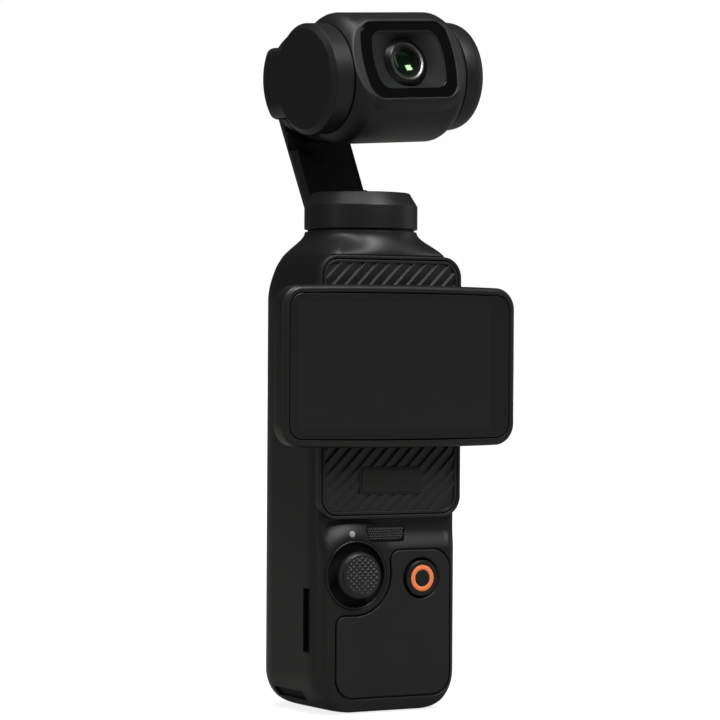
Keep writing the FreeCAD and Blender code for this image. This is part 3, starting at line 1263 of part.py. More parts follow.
def make_head():
    at = ("lens_x", 0)
    front = "-window_front"
    piece("camera_barrel", camera_barrel(), "tilt")
    piece("end_cap", end_cap(), "tilt")
    piece("tilt_shaft", rod("barrel_shaft", "x", "shaft_radius",
                            ("-drum_face + drum_wall + 0.1", "-barrel_left + 0.9")), "tilt")
    frame = tile("window_blank", "window_width", "window_height", "window_round",
                 (front, front + " + window_thick"), at)
    opening = tile("window_opening", "inset_width", "inset_height", "inset_round",
                   (front + " - 1", front + " + window_thick + 1"), at)
    piece("window_frame", cut("window_ring", frame, opening), "tilt")
    plate = tile("inset_blank", "inset_width - running_gap * 2", "inset_height - running_gap * 2",
                 "inset_round", (front + " + inset_sink", front + " + window_thick"), at)
    hole = rod("inset_hole", "y", "lens_hole", (front + " - 1", front + " + 3"), at)
    piece("lens_plate", cut("inset_plate", plate, hole), "tilt")
    back = front + " + window_thick + barrel_wall"
    piece("lens_ring", tube("bright_ring", "y", "lens_rim", "lens_bore",
                            (front + " + 0.35", back), at), "tilt")
    piece("lens_barrel", tube("lens_tube", "y", "lens_bore - 0.02", "lens_inner",
                              (front + " + 1.3", front + " + lens_length"), at), "tilt")
    elements = [rod("element_%d" % index, "y", "lens_inner - 0.02",
                    (front + " + %g" % start, front + " + %g" % end), at)
                for index, (start, end) in enumerate(((1.9, 3.0), (3.8, 4.6), (5.4, 6.3)))]
    stack = doc.addObject("Part::Compound", "element_stack")
    stack.Links = elements
    piece("lens_elements", stack, "tilt")
    half = "5.5"
    piece("sensor_board", block("sensor", ("lens_x - " + half, "lens_x + " + half),
                                (front + " + lens_length", front + " + lens_length + 1.2"),
                                ("-" + half, half)), "tilt")


make_handle()
make_inside()
make_screen()
make_controls()
make_neck()
make_arm()
make_roll()
make_head()
doc.recompute()

for item in doc.Objects:
    if "Invalid" in item.State or "Error" in item.State:
        raise RuntimeError("%s is not built: %s" % (item.Name, item.State))
for node, item in pieces.items():
    if item.Shape.isNull() or not item.Shape.isValid() or not item.Shape.Solids:
        raise RuntimeError("%s has no sound shape" % node)

os.makedirs("parts", exist_ok=True)
for node, item in pieces.items():
    item.Shape.exportStep("parts/%s.step" % node)
print("%d sub-parts written" % len(pieces))
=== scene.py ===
# %% [markdown]
# # A pocket camera on a three-axis gimbal
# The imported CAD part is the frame. It gives every solid its place and says which body
# moves it. This lesson dresses the frame: visible pieces are worked out again as smooth
# surfaces, and everything gets a material named for the real one. Lengths are in
# millimetres while a shape is worked out and become metres when the mesh is made.

# %% Load the frame
import bmesh
import bpy
import numpy as np
from mathutils import Matrix


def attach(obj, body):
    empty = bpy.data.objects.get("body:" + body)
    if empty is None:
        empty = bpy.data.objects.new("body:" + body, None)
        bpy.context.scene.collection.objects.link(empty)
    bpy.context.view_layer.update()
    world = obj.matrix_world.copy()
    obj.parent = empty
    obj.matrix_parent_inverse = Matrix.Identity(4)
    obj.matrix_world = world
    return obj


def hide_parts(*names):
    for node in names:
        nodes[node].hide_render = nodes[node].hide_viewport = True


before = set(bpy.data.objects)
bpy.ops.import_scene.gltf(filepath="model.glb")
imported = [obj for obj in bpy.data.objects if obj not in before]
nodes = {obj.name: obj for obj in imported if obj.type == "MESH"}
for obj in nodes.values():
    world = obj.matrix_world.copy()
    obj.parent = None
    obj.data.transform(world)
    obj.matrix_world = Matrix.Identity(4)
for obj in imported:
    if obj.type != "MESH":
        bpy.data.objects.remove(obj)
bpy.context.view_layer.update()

MM = 0.001

# %% [markdown]
# ## Shapes from grids
# Every new piece is a grid of points: a profile turned about an axis, or a profile
# carried round an outline. numpy works out all the points at once, and neighbouring
# points are joined by quads. A profile is closed by a flat face on its first or last
# ring. That keeps the edge rounding exact and the faces few, which a modifier stack
# could not promise at this size.

# %% The grid and the mesh
# how a grid is closed: in its rows, round each row, by flat ends
RING, TUBE, CAPPED = (True, True, False), (False, True, False), (False, True, True)


def grid_quads(rows, columns, close_rows, close_columns):
    """Quads between points (i, j), (i+1, j), (i+1, j+1) and (i, j+1) of a grid."""
    i = np.arange(rows if close_rows else rows - 1)
    j = np.arange(columns if close_columns else columns - 1)
    a, b = np.meshgrid(i, j, indexing="ij")
    down, along = (a + 1) % rows, (b + 1) % columns
    corners = [a * columns + b, down * columns + b, down * columns + along, a * columns + along]
    return np.stack(corners, -1).reshape(-1, 4)


def make_mesh(name, grids, sharp=38.0):
    """One object from several grids, merged where they touch, with outward faces.

    Each grid is (points, closed in rows, closed in columns, capped); a capped grid gets
    a flat face on its first and last ring, or only on its "last". Edges sharper than an
    angle stay crisp.
    """
    points, faces, start = [], [], 0
    for spots, close_rows, close_columns, capped in grids:
        rows, columns = spots.shape[:2]
        quads = grid_quads(rows, columns, close_rows, close_columns) + start
        faces += quads.tolist()
        if capped is True:
            faces.append(list(range(start, start + columns)))
        if capped:
            last = start + (rows - 1) * columns
            faces.append(list(range(last + columns - 1, last - 1, -1)))
        points.append(spots.reshape(-1, 3))
        start += rows * columns
    mesh = bpy.data.meshes.new(name)
    mesh.from_pydata((np.concatenate(points) * MM).tolist(), [], faces)
    work = bmesh.new()
    work.from_mesh(mesh)
    bmesh.ops.remove_doubles(work, verts=work.verts, dist=0.002 * MM)
    bmesh.ops.recalc_face_normals(work, faces=work.faces)
    work.to_mesh(mesh)
    work.free()
    mesh.shade_smooth()
    mesh.set_sharp_from_angle(angle=np.radians(sharp))
    made = bpy.data.objects.new(name, mesh)
    bpy.context.scene.collection.objects.link(made)
    return made


# %% Profiles and outlines
def arc(centre, radius, first, last, steps):
    """Points centre + radius (cos a, sin a), with a from first to last in degrees."""
    a = np.radians(np.linspace(first, last, steps))
    return np.stack([centre[0] + radius * np.cos(a), centre[1] + radius * np.sin(a)], -1)


def turned(profile, axis, centre=(0, 0, 0), steps=128):
    """A profile of (distance along the axis, radius) turned a full circle about it."""
    a = np.linspace(0, 2 * np.pi, steps, endpoint=False)
    along, radius = np.asarray(profile, float).T
    side, up = radius[:, None] * np.cos(a), radius[:, None] * np.sin(a)
    ahead = along[:, None] + 0 * a
    order = {"x": (ahead, side, up), "y": (side, ahead, up), "z": (side, up, ahead)}[axis]
    return np.stack(order, -1) + np.array(centre, float)


def outline(width, height, radius, middle=(0, 0), steps=12):
    """A rectangle with round corners: its points in X and Z, and their outward normals."""
    across, up = width / 2 - radius, height / 2 - radius
    starts = ((across, up, 0), (-across, up, 90), (-across, -up, 180), (across, -up, 270))
    normals = [arc((0, 0), 1.0, a, a + 90, steps) for _, _, a in starts]
    points = [np.array([x, z]) + radius * n for (x, z, _), n in zip(starts, normals)]
    return np.concatenate(points) + np.array(middle), np.concatenate(normals)


def carried(loop, profile):
    """A profile of (inset, Y) carried round a loop: point minus inset times its normal."""
    points, normals = loop
    inset, depth = np.asarray(profile, float).T
    flat = points[None] - inset[:, None, None] * normals[None]
    return np.stack([flat[..., 0], depth[:, None] + 0 * flat[..., 0], flat[..., 1]], -1)


def soft_tile(loop, back, front, edge, steps=6):
    """A plate that faces forward, with a quarter-round front edge."""
    corner = arc((edge, front + edge), edge, 180, 270, steps)
    profile = [(0, back), *corner, (edge + 0.05, front)]
    return (carried(loop, profile), *CAPPED)


def finish_piece(piece, body, slot, material, *replaced):
    """The piece rides on a body, takes its material and stands for CAD nodes; slot is not used."""
    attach(piece, body)
    if replaced:
        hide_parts(*replaced)
    piece.data.materials.append(material)
    print(piece.name, "has", len(piece.data.polygons), "faces")


def add_piece(name, grids, body, slot, material, *replaced, sharp=38.0):
    """Makes a piece from its grids and finishes it."""
    finish_piece(make_mesh(name, grids, sharp), body, slot, material, *replaced)


# %% [markdown]
# ## Materials
# The camera is nearly all black, so its surfaces differ by sheen and grain: moulded
# casing, soft rubber pad, painted gimbal, glass. Each colour is written as the sRGB
# value seen on the object and turned to linear light by one function. Grain comes from
# noise on Object coordinates, at a size in millimetres, so it stays put when a body moves.

# %% Colour and nodes
def linear(code):
    """An sRGB hex colour as linear RGBA."""
    parts = np.array([int(code[i:i + 2], 16) for i in (1, 3, 5)]) / 255
    light = np.where(parts <= 0.04045, parts / 12.92, ((parts + 0.055) / 1.055) ** 2.4)
    return (*light.tolist(), 1.0)


def add_node(tree, kind, settings=None, links=None):
    """Adds a node, sets its options (names) and sockets, and links its inputs."""
    made = tree.nodes.new(kind)
    for key, value in (settings or {}).items():
        if isinstance(key, str) and hasattr(made, key):
            setattr(made, key, value)
        else:
            made.inputs[key].default_value = value
    for key, source in (links or {}).items():
        tree.links.new(source, made.inputs[key])
    return made


def new_material(name):
    """An empty node material and its tree, with object coordinates ready to use."""
    made = bpy.data.materials.new(name)
    made.use_nodes = True
    tree = made.node_tree
    tree.nodes.clear()
    place = add_node(tree, "ShaderNodeTexCoord").outputs["Object"]
    return made, tree, place


def close_material(tree, shader):
    """Links a shader to the material's output."""
    add_node(tree, "ShaderNodeOutputMaterial", links={"Surface": shader.outputs[0]})


def speckle(tree, place, width, detail=2.0):
    """Noise whose marks are so many millimetres wide, from 0 to 1."""
    return add_node(tree, "ShaderNodeTexNoise", {"Scale": 1 / (width * MM), "Detail": detail},
                    {"Vector": place}).outputs["Fac"]


def blend(tree, dark, light, factor):
    """A colour between two tones."""
    return add_node(tree, "ShaderNodeMix", {"data_type": "RGBA", 6: linear(dark),
                                            7: linear(light)}, {0: factor}).outputs[2]


def ranged(tree, value, low, high):
    """A value from 0 to 1 spread from low to high."""
    return add_node(tree, "ShaderNodeMapRange", {"To Min": low, "To Max": high},
                    {"Value": value}).outputs["Result"]


def grained(name, dark, light, roughness, grain, depth, specular=0.3, patch=7.0, edge=0.0,
            spread=0.05, metallic=0.0):
    """A grained surface: colour drifts between two tones, and grain gives bump and sheen.

    grain is the grain's width and patch the width of the drift, in millimetres; edge is
    the radius in millimetres at which light rolls over the CAD solid's edges.
    """
    made, tree, place = new_material(name)
    drift = speckle(tree, place, patch, 3.0)
    fine = speckle(tree, place, grain)
    colour = blend(tree, dark, light, drift)
    sheen = ranged(tree, fine, roughness - spread, roughness + spread)
    normal = {}
    if edge:
        soft = add_node(tree, "ShaderNodeBevel", {"samples": 4, "Radius": edge * MM})
        normal = {"Normal": soft.outputs["Normal"]}
    bump = add_node(tree, "ShaderNodeBump", {"Strength": 0.6, "Distance": depth * MM},
                    {"Height": fine, **normal})
    shader = add_node(tree, "ShaderNodeBsdfPrincipled",
                      {"Specular IOR Level": specular, "Metallic": metallic},
                      {"Base Color": colour, "Roughness": sheen,
                       "Normal": bump.outputs["Normal"]})
    close_material(tree, shader)
    return made


# %% [markdown]
# ### Plastics, rubber, paint
# The casing is a polycarbonate blend moulded in a spark-eroded tool, which leaves a
# satin grain of about 0.1 mm. That is finer than a pixel of the picture, so it is drawn
# at 0.3 mm. The pad is thermoplastic rubber: rougher and duller. The gimbal's arm and
# head are cast alloy with satin black paint, smoother, with a tighter highlight.

# %% Black surfaces
casing_black = grained("Moulded_PC_ABS_black", "#0f0f0e", "#131312", 0.42, 0.3, 0.010,
                       specular=0.35, edge=0.22)
casing_fine = grained("Moulded_PC_ABS_fine", "#131312", "#171716", 0.38, 0.25, 0.006,
                      specular=0.35, edge=0.15)
ribbed_abs = grained("Moulded_ABS_ribbed", "#181818", "#1d1d1d", 0.42, 0.25, 0.008, edge=0.08)
pad_rubber = grained("Thermoplastic_rubber_pad", "#101010", "#161615", 0.58, 0.35, 0.03,
                     specular=0.35)
gimbal_paint = grained("Satin_paint_on_cast_alloy", "#101010", "#141414", 0.44, 0.22, 0.005,
                       specular=0.32, edge=0.2)
stick_rubber = grained("Rubberised_thumb_cap", "#191919", "#1f1f1f", 0.42, 0.25, 0.01,
                       specular=0.4)
socket_black = grained("Glass_filled_nylon_black", "#0e0e0e", "#131313", 0.55, 0.3, 0.01)
plate_grey = grained("Bead_blasted_anodised_plate", "#181919", "#1b1c1c", 0.65, 0.2, 0.004,
                     specular=0.1)
# Matte black for real bores, screws and the card socket; also used as painted shade in the card
# slot and the latch notches.
bore_black_and_shade = grained("Matte_black_bore_and_painted_shade", "#070707", "#0b0b0b", 0.6, 0.2, 0.004,
                     specular=0.2)
print("black finishes:", [m.name for m in bpy.data.materials][-9:])

# %% [markdown]
# ### Colour, metal and inner parts
# The record ring is an orange acetal insert, the light pipe a milky diffuser. Metals
# keep the default IOR: bright turned aluminium round the lens, steel pins and screws,
# bronze bushes, and copper windings with a fine wound grain.

# %% Small finishes
mark_orange = grained("Acetal_insert_orange", "#e87842", "#ee844f", 0.42, 0.3, 0.004,
                      specular=0.45)
light_milky = grained("Milky_light_diffuser", "#8c8d8a", "#989996", 0.45, 0.3, 0.003,
                      specular=0.5)
steel = grained("Ground_stainless_steel", "#9a9a98", "#a8a8a6", 0.32, 0.15, 0.002,
                metallic=1.0)
bronze = grained("Sintered_bronze", "#8a6a42", "#9a7850", 0.45, 0.12, 0.004, metallic=1.0)
copper = grained("Enamelled_copper_winding", "#8c4a22", "#a65c2e", 0.35, 0.3, 0.02,
                 metallic=1.0)
board_green = grained("Solder_resist_on_glass_epoxy", "#0d2a1c", "#123523", 0.38, 0.4, 0.003,
                      specular=0.5)
cell_foil = grained("Laminated_foil_pouch", "#6f7274", "#7c7f81", 0.38, 1.2, 0.02,
                    metallic=0.8)
mesh_black = grained("Etched_steel_mesh_black", "#2e2e2e", "#363636", 0.42, 0.2, 0.004,
                     specular=0.5)
panel_black = grained("Display_panel_black", "#0b0b0c", "#0f0f10", 0.35, 0.3, 0.001)
print("small finishes:", [m.name for m in bpy.data.materials][-9:])


# %% [markdown]
# ### Cover glass and window glass
# The screen's cover is hardened glass, printed black behind its border, with a matte
# anti-glare face. The display under it shows as a slightly lighter field. One box-shaped
# mask on object coordinates separates field and border. The window over the lens is
# plain gloss over black print.

# %% Cover glass
def inside_box(tree, place, low, high, soft):
    """1 inside a box in X and Z and 0 outside, with a soft border; sizes in metres."""
    parts = add_node(tree, "ShaderNodeSeparateXYZ", links={"Vector": place})
    steps = []
    for axis, a, b in (("X", low[0], high[0]), ("Z", low[1], high[1])):
        for start, end in ((a, a + soft), (b, b - soft)):
            edge = add_node(tree, "ShaderNodeMapRange", {"From Min": start, "From Max": end},
                            {"Value": parts.outputs[axis]})
            steps.append(edge.outputs["Result"])
    mask = steps[0]
    for step in steps[1:]:
        mask = add_node(tree, "ShaderNodeMath", {"operation": "MULTIPLY"},
                        {0: mask, 1: step}).outputs[0]
    return mask


def cover_glass():
    """Anti-glare glass with a lighter display field behind it."""
    made, tree, place = new_material("Hardened_anti_glare_glass")
    middle, half = 0.0686, 0.0127  # the display's height and half its size, in metres
    mask = inside_box(tree, place, (-0.0242, middle - half), (0.0202, middle + half), 0.0003)
    smear = speckle(tree, place, 100 / 9, 4.0)
    colour = blend(tree, "#161716", "#1a1b1b", mask)
    shader = add_node(tree, "ShaderNodeBsdfPrincipled", {"Specular IOR Level": 0.3},
                      {"Base Color": colour, "Roughness": ranged(tree, smear, 0.26, 0.34)})
    close_material(tree, shader)
    return made


def gloss(name, dark, light, roughness, smear, specular=0.5, tint="#ffffff"):
    """A polished surface; smear is the width in millimetres of faint wiping marks."""
    made, tree, place = new_material(name)
    noise = speckle(tree, place, smear, 3.0)
    colour = blend(tree, dark, light, noise)
    sheen = ranged(tree, noise, roughness, roughness + 0.04)
    shader = add_node(tree, "ShaderNodeBsdfPrincipled",
                      {"Specular IOR Level": specular, "Specular Tint": linear(tint)},
                      {"Base Color": colour, "Roughness": sheen})
    close_material(tree, shader)
    return made


glass_cover = cover_glass()
glass_window = gloss("Black_printed_window_glass", "#050505", "#070707", 0.08, 9.0, 0.35)
glass_lens = gloss("Coated_lens_glass", "#020503", "#04100a", 0.07, 1.5, 0.8, tint="#b9ecae")
cone_black = gloss("Black_anodised_lens_cone", "#070707", "#0b0b0b", 0.3, 2.0, 0.3)

# %% Bright ring
bright_ring = grained("Turned_bright_aluminium", "#5a5a58", "#666664", 0.28, 0.12, 0.002,
                      metallic=1.0)

# %% [markdown]
# ## The finish of every CAD node
# Each CAD solid gets its material here. Pieces built below then take the place of the
# ones whose edges show; the rest, and everything inside, keep their solid.

# %% Nodes and their finishes
FINISHES = (
    (casing_black, "rear_shell front_shell shoulder_shell"),
    (casing_fine, "screen_housing hinge_plate"),
    (ribbed_abs, "island_frame ribbed_plate badge_plate"),
    (pad_rubber, "grip_pad"),
    (gimbal_paint, "neck_ring arm_shell roll_bracket camera_barrel end_cap record_cap"),
    (socket_black, "neck_collar arm_cover joystick_rim inner_frame joystick_base record_switch"),
    (socket_black, "speaker_unit record_plunger joystick_cradle cable_boot charging_tongue"),
    (bore_black_and_shade, "arm_screws card_socket"),
    (stick_rubber, "joystick_cap joystick_grip"),
    (mesh_black, "speaker_grille"),
    (mark_orange, "record_ring"),
    (light_milky, "status_light"),
    (glass_cover, "screen_glass"),
    (panel_black, "display_panel sensor_board"),
    (glass_window, "window_frame"),
    (plate_grey, "lens_plate"),
    (bright_ring, "lens_ring"),
    (bore_black_and_shade, "lens_barrel"),
    (glass_lens, "lens_elements"),
    (steel, "board_screws charging_socket hinge_shaft pan_shaft"),
    (steel, "roll_shaft tilt_shaft joystick_stem pan_bearing roll_bearing tilt_bearing"),
    (bronze, "hinge_bush hinge_washer"),
    (copper, "pan_stator roll_stator tilt_stator"),
    (board_green, "main_board"),
    (cell_foil, "battery_cell"),
)
finished = set()
for material, names in FINISHES:
    for name in names.split():
        nodes[name].data.materials.clear()
        nodes[name].data.materials.append(material)
        finished.add(name)
print("nodes without a finish:", sorted(set(nodes) - finished))

# %% [markdown]
# ## The handle's casing
# The casing is a moulded tube: small soft corners in front, wide ones behind, a foot
# that curves in and a shoulder that flares in to the round neck. Worked out as one grid
# of level outlines, from the foot up to the neck and down again inside, it has no seam
# for the light to catch. Its openings are cut afterwards with one Boolean each, because
# a grid of quads can't follow their borders.

# %% Sizes of the casing
BODY_HALF, BODY_FRONT, BODY_BACK, WALL = 16.35, 12.3, 16.05, 1.5
FRONT_ACROSS, FRONT_DEEP, REAR_ROUND = 2.6, 4.6, 9.5
FOOT_ROUND, FOOT_EDGE, SEAM_Z, TOP_Z, NECK_R = 7.5, 2.2, 82.6, 95.5, 11.25
STICK_X, STICK_Z = -7.75, 27.35
STICK_AT = (STICK_X, 0, STICK_Z)
WELL_RIM, PAD_TOP, DIP = 7.0, 31.6, 1.5
# shares of the shoulder's height, and the flare that is left there
FLARE = ((-0.3, 0, 0.16, 0.31, 0.47, 0.64, 0.77, 0.86, 0.93, 1.0, 1.3),
         (1, 1, 0.955, 0.88, 0.775, 0.59, 0.34, 0.15, 0.035, 0, 0))


def drawn_in(radius, rise):
    """How far a quarter round has come in at a height: r - sqrt(r^2 - (r - rise)^2)."""
    left = np.clip(radius - rise, 0, radius)
    return radius - np.sqrt(radius ** 2 - left ** 2)


def flare_at(z):
    """Share of the shoulder's flare left at a height, averaged twice over a twelfth."""
    share = np.linspace(-0.3, 1.3, 641)
    curve = np.interp(share, *FLARE)
    window = np.ones(33) / 33
    for _ in range(2):
        curve = np.convolve(np.pad(curve, 16, "edge"), window, "valid")
    return np.interp((z - SEAM_Z) / (TOP_Z - SEAM_Z), share, curve)


def front_dip(x, z):
    """Depth of the hollow between island, pad and joystick.

    It grows smoothly with the distance from the well's rim and from the pad's upper
    edge, whichever is nearer, and fades out towards the corners.
    """
    off_well = np.hypot(x - STICK_X, z - STICK_Z) - WELL_RIM
    above = z - PAD_TOP + 0.62 * np.maximum(-6 - x, 0)
    far = np.clip(soft_min(off_well, above, 1.5) / 4.8, 0, 1)
    side = np.clip((16.6 - np.abs(x)) / 3.4, 0, 1)
    top = np.clip((60 - z) / 8, 0, 1)
    return DIP * far ** 2 * (3 - 2 * far) * side ** 2 * (3 - 2 * side) * top


def soft_min(a, b, k):
    """The smaller of two values, rounded where they differ by less than k."""
    h = np.clip(0.5 + 0.5 * (b - a) / k, 0, 1)
    return b * (1 - h) + a * h - k * h * (1 - h)


# %% Casing surface
def casing_rows(z, inset):
    """Outlines at each height: straight faces joined by quarter ellipses.

    In a corner x moves by its extent times one minus the cosine of the angle, and y by
    its own extent times the sine. Up the shoulder each point slides along its own polar
    angle towards the neck's circle, x with the flare and the front's y later. The inner
    wall is the same shape, drawn in.
    """
    z = np.asarray(z, float)[:, None]
    narrow = drawn_in(FOOT_ROUND - inset, z - inset)
    thin = drawn_in(max(FOOT_EDGE - inset, 0.4), z - inset)
    half, front, back = BODY_HALF - inset, BODY_FRONT - inset - thin, BODY_BACK - inset - thin
    squeeze = (half - narrow) / half
    across, deep, rear = FRONT_ACROSS - inset, FRONT_DEEP - inset, REAR_ROUND - inset
    half, across, rear_across = half - narrow, across * squeeze, rear * squeeze
    s = np.linspace(0, 1, 36)
    t = np.radians(np.linspace(0, 90, 15))[1:]
    x = [s * (half - across), half - across + across * np.sin(t), half + 0 * s[1:],
         half - rear_across + rear_across * np.cos(t), (half - rear_across) * (1 - s[1:])]
    y = [-front + 0 * s, deep - front - deep * np.cos(t),
         deep - front + s[1:] * (back - rear + front - deep), back - rear + rear * np.sin(t),
         back + 0 * s[1:]]
    x, y = np.concatenate([p + 0 * z for p in x], 1), np.concatenate([p + 0 * z for p in y], 1)
    x, y = np.concatenate([x, -x[:, -2:0:-1]], 1), np.concatenate([y, y[:, -2:0:-1]], 1)
    angle, ring = np.arctan2(y, x), NECK_R - inset
    late = np.clip((TOP_Z - 0.2 - z) / 5.0, 0, 1)
    share = np.where(y < 0, late ** 2 * (3 - 2 * late), flare_at(z))
    x = ring * np.cos(angle) + flare_at(z) * (x - ring * np.cos(angle))
    y = ring * np.sin(angle) + share * (y - ring * np.sin(angle))
    y = np.where(y < 0, y + front_dip(x, z), y)
    return np.stack([x, y, z + 0 * x], -1)


foot = FOOT_ROUND * (1 - np.cos(np.radians(np.linspace(0, 90, 16))))
rise = np.concatenate([foot, np.arange(9.5, 25.9, 2), np.arange(26, 40, 0.35),
                       np.arange(41, SEAM_Z - 2, 3), np.linspace(SEAM_Z - 1.5, TOP_Z, 52)])
outer = casing_rows(rise, 0.0)
drawn, raised = 0.855, 97 / TOP_Z  # the collar's radius and height, as shares of the top's
collar = outer[-1:] * np.array([(drawn, drawn, 1), (drawn, drawn, raised),
                                (0.81, 0.81, raised)])[:, None]
inner = casing_rows(np.concatenate([np.linspace(94, 80, 24), np.arange(76, 8, -4),
                                    WALL + foot[:0:-3] * 0.8]), WALL)
casing = make_mesh("Handle_casing", [(np.concatenate([outer, collar, inner]), *CAPPED)])
print("casing grid", outer.shape)

# %% [markdown]
# ### Openings
# Each opening is a closed cutter: a profile turned about the opening's own axis, or
# carried along its outline, wider at the surface where the real edge has a chamfer.

# %% Cutting
CUT_SHARP = 34  # edges sharper than this many degrees stay crisp after a cut


def rounded_polygon(corners, radius, steps=7):
    """A convex polygon with round corners, anticlockwise: its points and its normals.

    Each corner's circle sits where the two edges, moved in by the radius, cross.
    """
    corners = np.array(corners, float)
    ahead = np.roll(corners, -1, 0) - corners
    ahead /= np.linalg.norm(ahead, axis=1)[:, None]
    out = np.stack([ahead[:, 1], -ahead[:, 0]], -1)
    before = np.roll(out, 1, 0)
    middle = corners - radius * (out + before) / (1 + (out * before).sum(1))[:, None]
    first = np.degrees(np.arctan2(before[:, 1], before[:, 0]))
    swing = np.degrees(np.arccos(np.clip((out * before).sum(1), -1, 1)))
    normals = np.stack([arc((0, 0), 1.0, a, a + w, steps) for a, w in zip(first, swing)])
    points = middle[:, None] + radius * normals
    return points.reshape(-1, 2), normals.reshape(-1, 2)


def cut(piece, *grids):
    """The piece less the closed grids, one exact Boolean after the other, made real."""
    for grid in grids:
        tool = make_mesh("cutter", [grid])
        step = piece.modifiers.new("opening", "BOOLEAN")
        step.operation, step.solver, step.object = "DIFFERENCE", "EXACT", tool
        bpy.context.view_layer.update()
        seen = piece.evaluated_get(bpy.context.evaluated_depsgraph_get())
        mesh = bpy.data.meshes.new_from_object(seen)
        piece.modifiers.clear()
        piece.data = mesh
        bpy.data.objects.remove(tool)
    piece.data.shade_smooth()
    piece.data.set_sharp_from_angle(angle=np.radians(CUT_SHARP))
    print(piece.name, "after", len(grids), "cuts:", len(piece.data.polygons), "faces")


def leaning(x, y, z, side):
    """A box along Y, turned to stand square on the foot's round corner."""
    out, down = np.array([0.8 * side, -0.6]), np.array([-0.6 * side, -0.8])
    spot = np.array([14.85 * side, 3.0])
    corners = [(x[0], z[0]), (x[1], z[0]), (x[1], z[1]), (x[0], z[1])]
    ring = np.array([spot + a * out + b * down for a, b in corners])
    rows = [np.stack([ring[:, 0], at + 0 * ring[:, 0], ring[:, 1]], -1) for at in y]
    return (np.stack(rows), *CAPPED)


def block(x, y, z):
    """A plain box, used only as a cutter: its four corners in Y and Z, carried along X."""
    ring = np.array([(y[0], z[0]), (y[1], z[0]), (y[1], z[1]), (y[0], z[1])])
    rows = [np.stack([at + 0 * ring[:, 0], ring[:, 0], ring[:, 1]], -1) for at in x]
    return (np.stack(rows), *CAPPED)


# %% Island, pad and grille outlines
ISLAND_WIDE, ISLAND_TALL, ISLAND_Z, ISLAND_ROUND = 32.7, 52.1, 64.45, 4.2
PAD_ARCS = (
    # centre, radius, first and last angle, outward sign
    ((10.1, 6.9), 4.0, -90, 0, 1),
    ((9.9, 27.9), 4.2, 0, 90, 1),
    ((2.3, 30.0), 2.1, 90, 180, 1),
    ((STICK_X, STICK_Z), 8.1, 0, -90, -1),
    ((-10.3, 17.4), 1.9, 90, 180, 1),
    ((-8.2, 6.9), 4.0, 180, 270, 1),
)
RECORD_AT = (7.3, 0, 26.3)
GRILLE = rounded_polygon(((-4.4, 34.05), (3.5, 34.05), (4.1, 36.75), (-4.95, 36.75)), 0.55)
LIGHT_AT = (-8.5, 0, 35.4)


def island_loop(inset):
    """The island's outline, drawn in by an inset."""
    return outline(ISLAND_WIDE - 2 * inset, ISLAND_TALL - 2 * inset, ISLAND_ROUND - inset,
                   (0, ISLAND_Z))


def pad_loop(inset):
    """The arcs' points in turn, drawn in, and their outward normals."""
    points = np.concatenate([arc(c, r, a, b, 28) for c, r, a, b, _ in PAD_ARCS])
    normals = np.concatenate([sign * arc((0, 0), 1.0, a, b, 28) for _, _, a, b, sign in PAD_ARCS])
    return points - inset * normals, normals


# %% Openings of the casing
slot = block((-18, -14.2), (-8.75, -6.35), (12.1, 24.75))
ramp = np.array([(-17.03, -5.5), (-16.4, -6.35), (-16.4, -8.75), (-17.03, -8.75)])
slot_ramp = np.stack([np.insert(ramp, 2, z, 1) for z in (12.1, 24.75)])
port = carried(outline(9.14, 3.36, 1.6, (0, 2.0)), [(0, -1), (0, 3)])[..., [0, 2, 1]]
well = turned([(-14, 7.1), (-12.34, 7.06), (-12.2, 6.92), (-11.45, 6.92), (-11.45, 6.2),
               (-8.0, 6.2)], "y", STICK_AT)
pad_bed = carried(pad_loop(-0.12), [(-0.24, -14), (-0.24, -12.36), (0, -12.08), (0, -11.6)])
mouth = carried(GRILLE, [(-0.35, -14), (-0.35, -11.5), (-0.22, -11.2), (-0.22, -10.0)])
button_bore = turned([(-13, 4.1), (-9, 4.1)], "y", RECORD_AT)
light_bore = turned([(-14, 0.76), (-10.2, 0.76)], "y", LIGHT_AT)
cut(casing,
    (carried(island_loop(-0.12), [(0, -14), (0, -11.0)]), *CAPPED),
    (pad_bed, *CAPPED), (well, *CAPPED), (button_bore, *CAPPED), (mouth, *CAPPED),
    (light_bore, *CAPPED), slot, (slot_ramp, *CAPPED), (port, *CAPPED),
    leaning((-0.8, 1.5), (-4.5, 7.3), (-1.2, 1.2), -1),
    leaning((-0.8, 1.5), (-4.5, 7.3), (-1.2, 1.2), 1))
finish_piece(casing, "handle", "casing", casing_black, "front_shell", "rear_shell",
             "shoulder_shell")

# Painted shade: a thin sheet of darker matte black on the floor of each latch notch.
add_piece("Latch_painted_shade", [leaning((-0.79, -0.6), (-4.48, 7.28), (-1.18, 1.18),
                                   side) for side in (-1, 1)], "handle", "casing", bore_black_and_shade)
# Painted shade: a sleeve of darker matte black over the card slot's walls.
slot_shade_sleeve = [(0.03, -16.38), (0.03, -14.3), (0.15, -14.3), (0.15, -16.38)]
slot_shade_sleeve = carried(outline(2.38, 12.63, 0.2, (-7.55, 18.425), 3), slot_shade_sleeve)[..., [1, 0, 2]]
add_piece("Slot_painted_shade", [(slot_shade_sleeve, *RING)], "handle", "casing", bore_black_and_shade)

# %% [markdown]
# ### Speaker grille and status light
# The grille is an etched mesh behind the opening. It is a fine height field: round
# dimples in staggered rows sink 0.4 mm into a flat plate, which reads as a mesh at this
# size. The light is a small milky dome.

# %% Grille and light
def box_distance(x, z, half_x, half_z, radius, middle):
    """Distance to a rounded rectangle's edge, negative inside."""
    qx = np.abs(x) - (half_x - radius)
    qz = np.abs(z - middle) - (half_z - radius)
    outside = np.hypot(np.maximum(qx, 0), np.maximum(qz, 0))
    return outside + np.minimum(np.maximum(qx, qz), 0) - radius


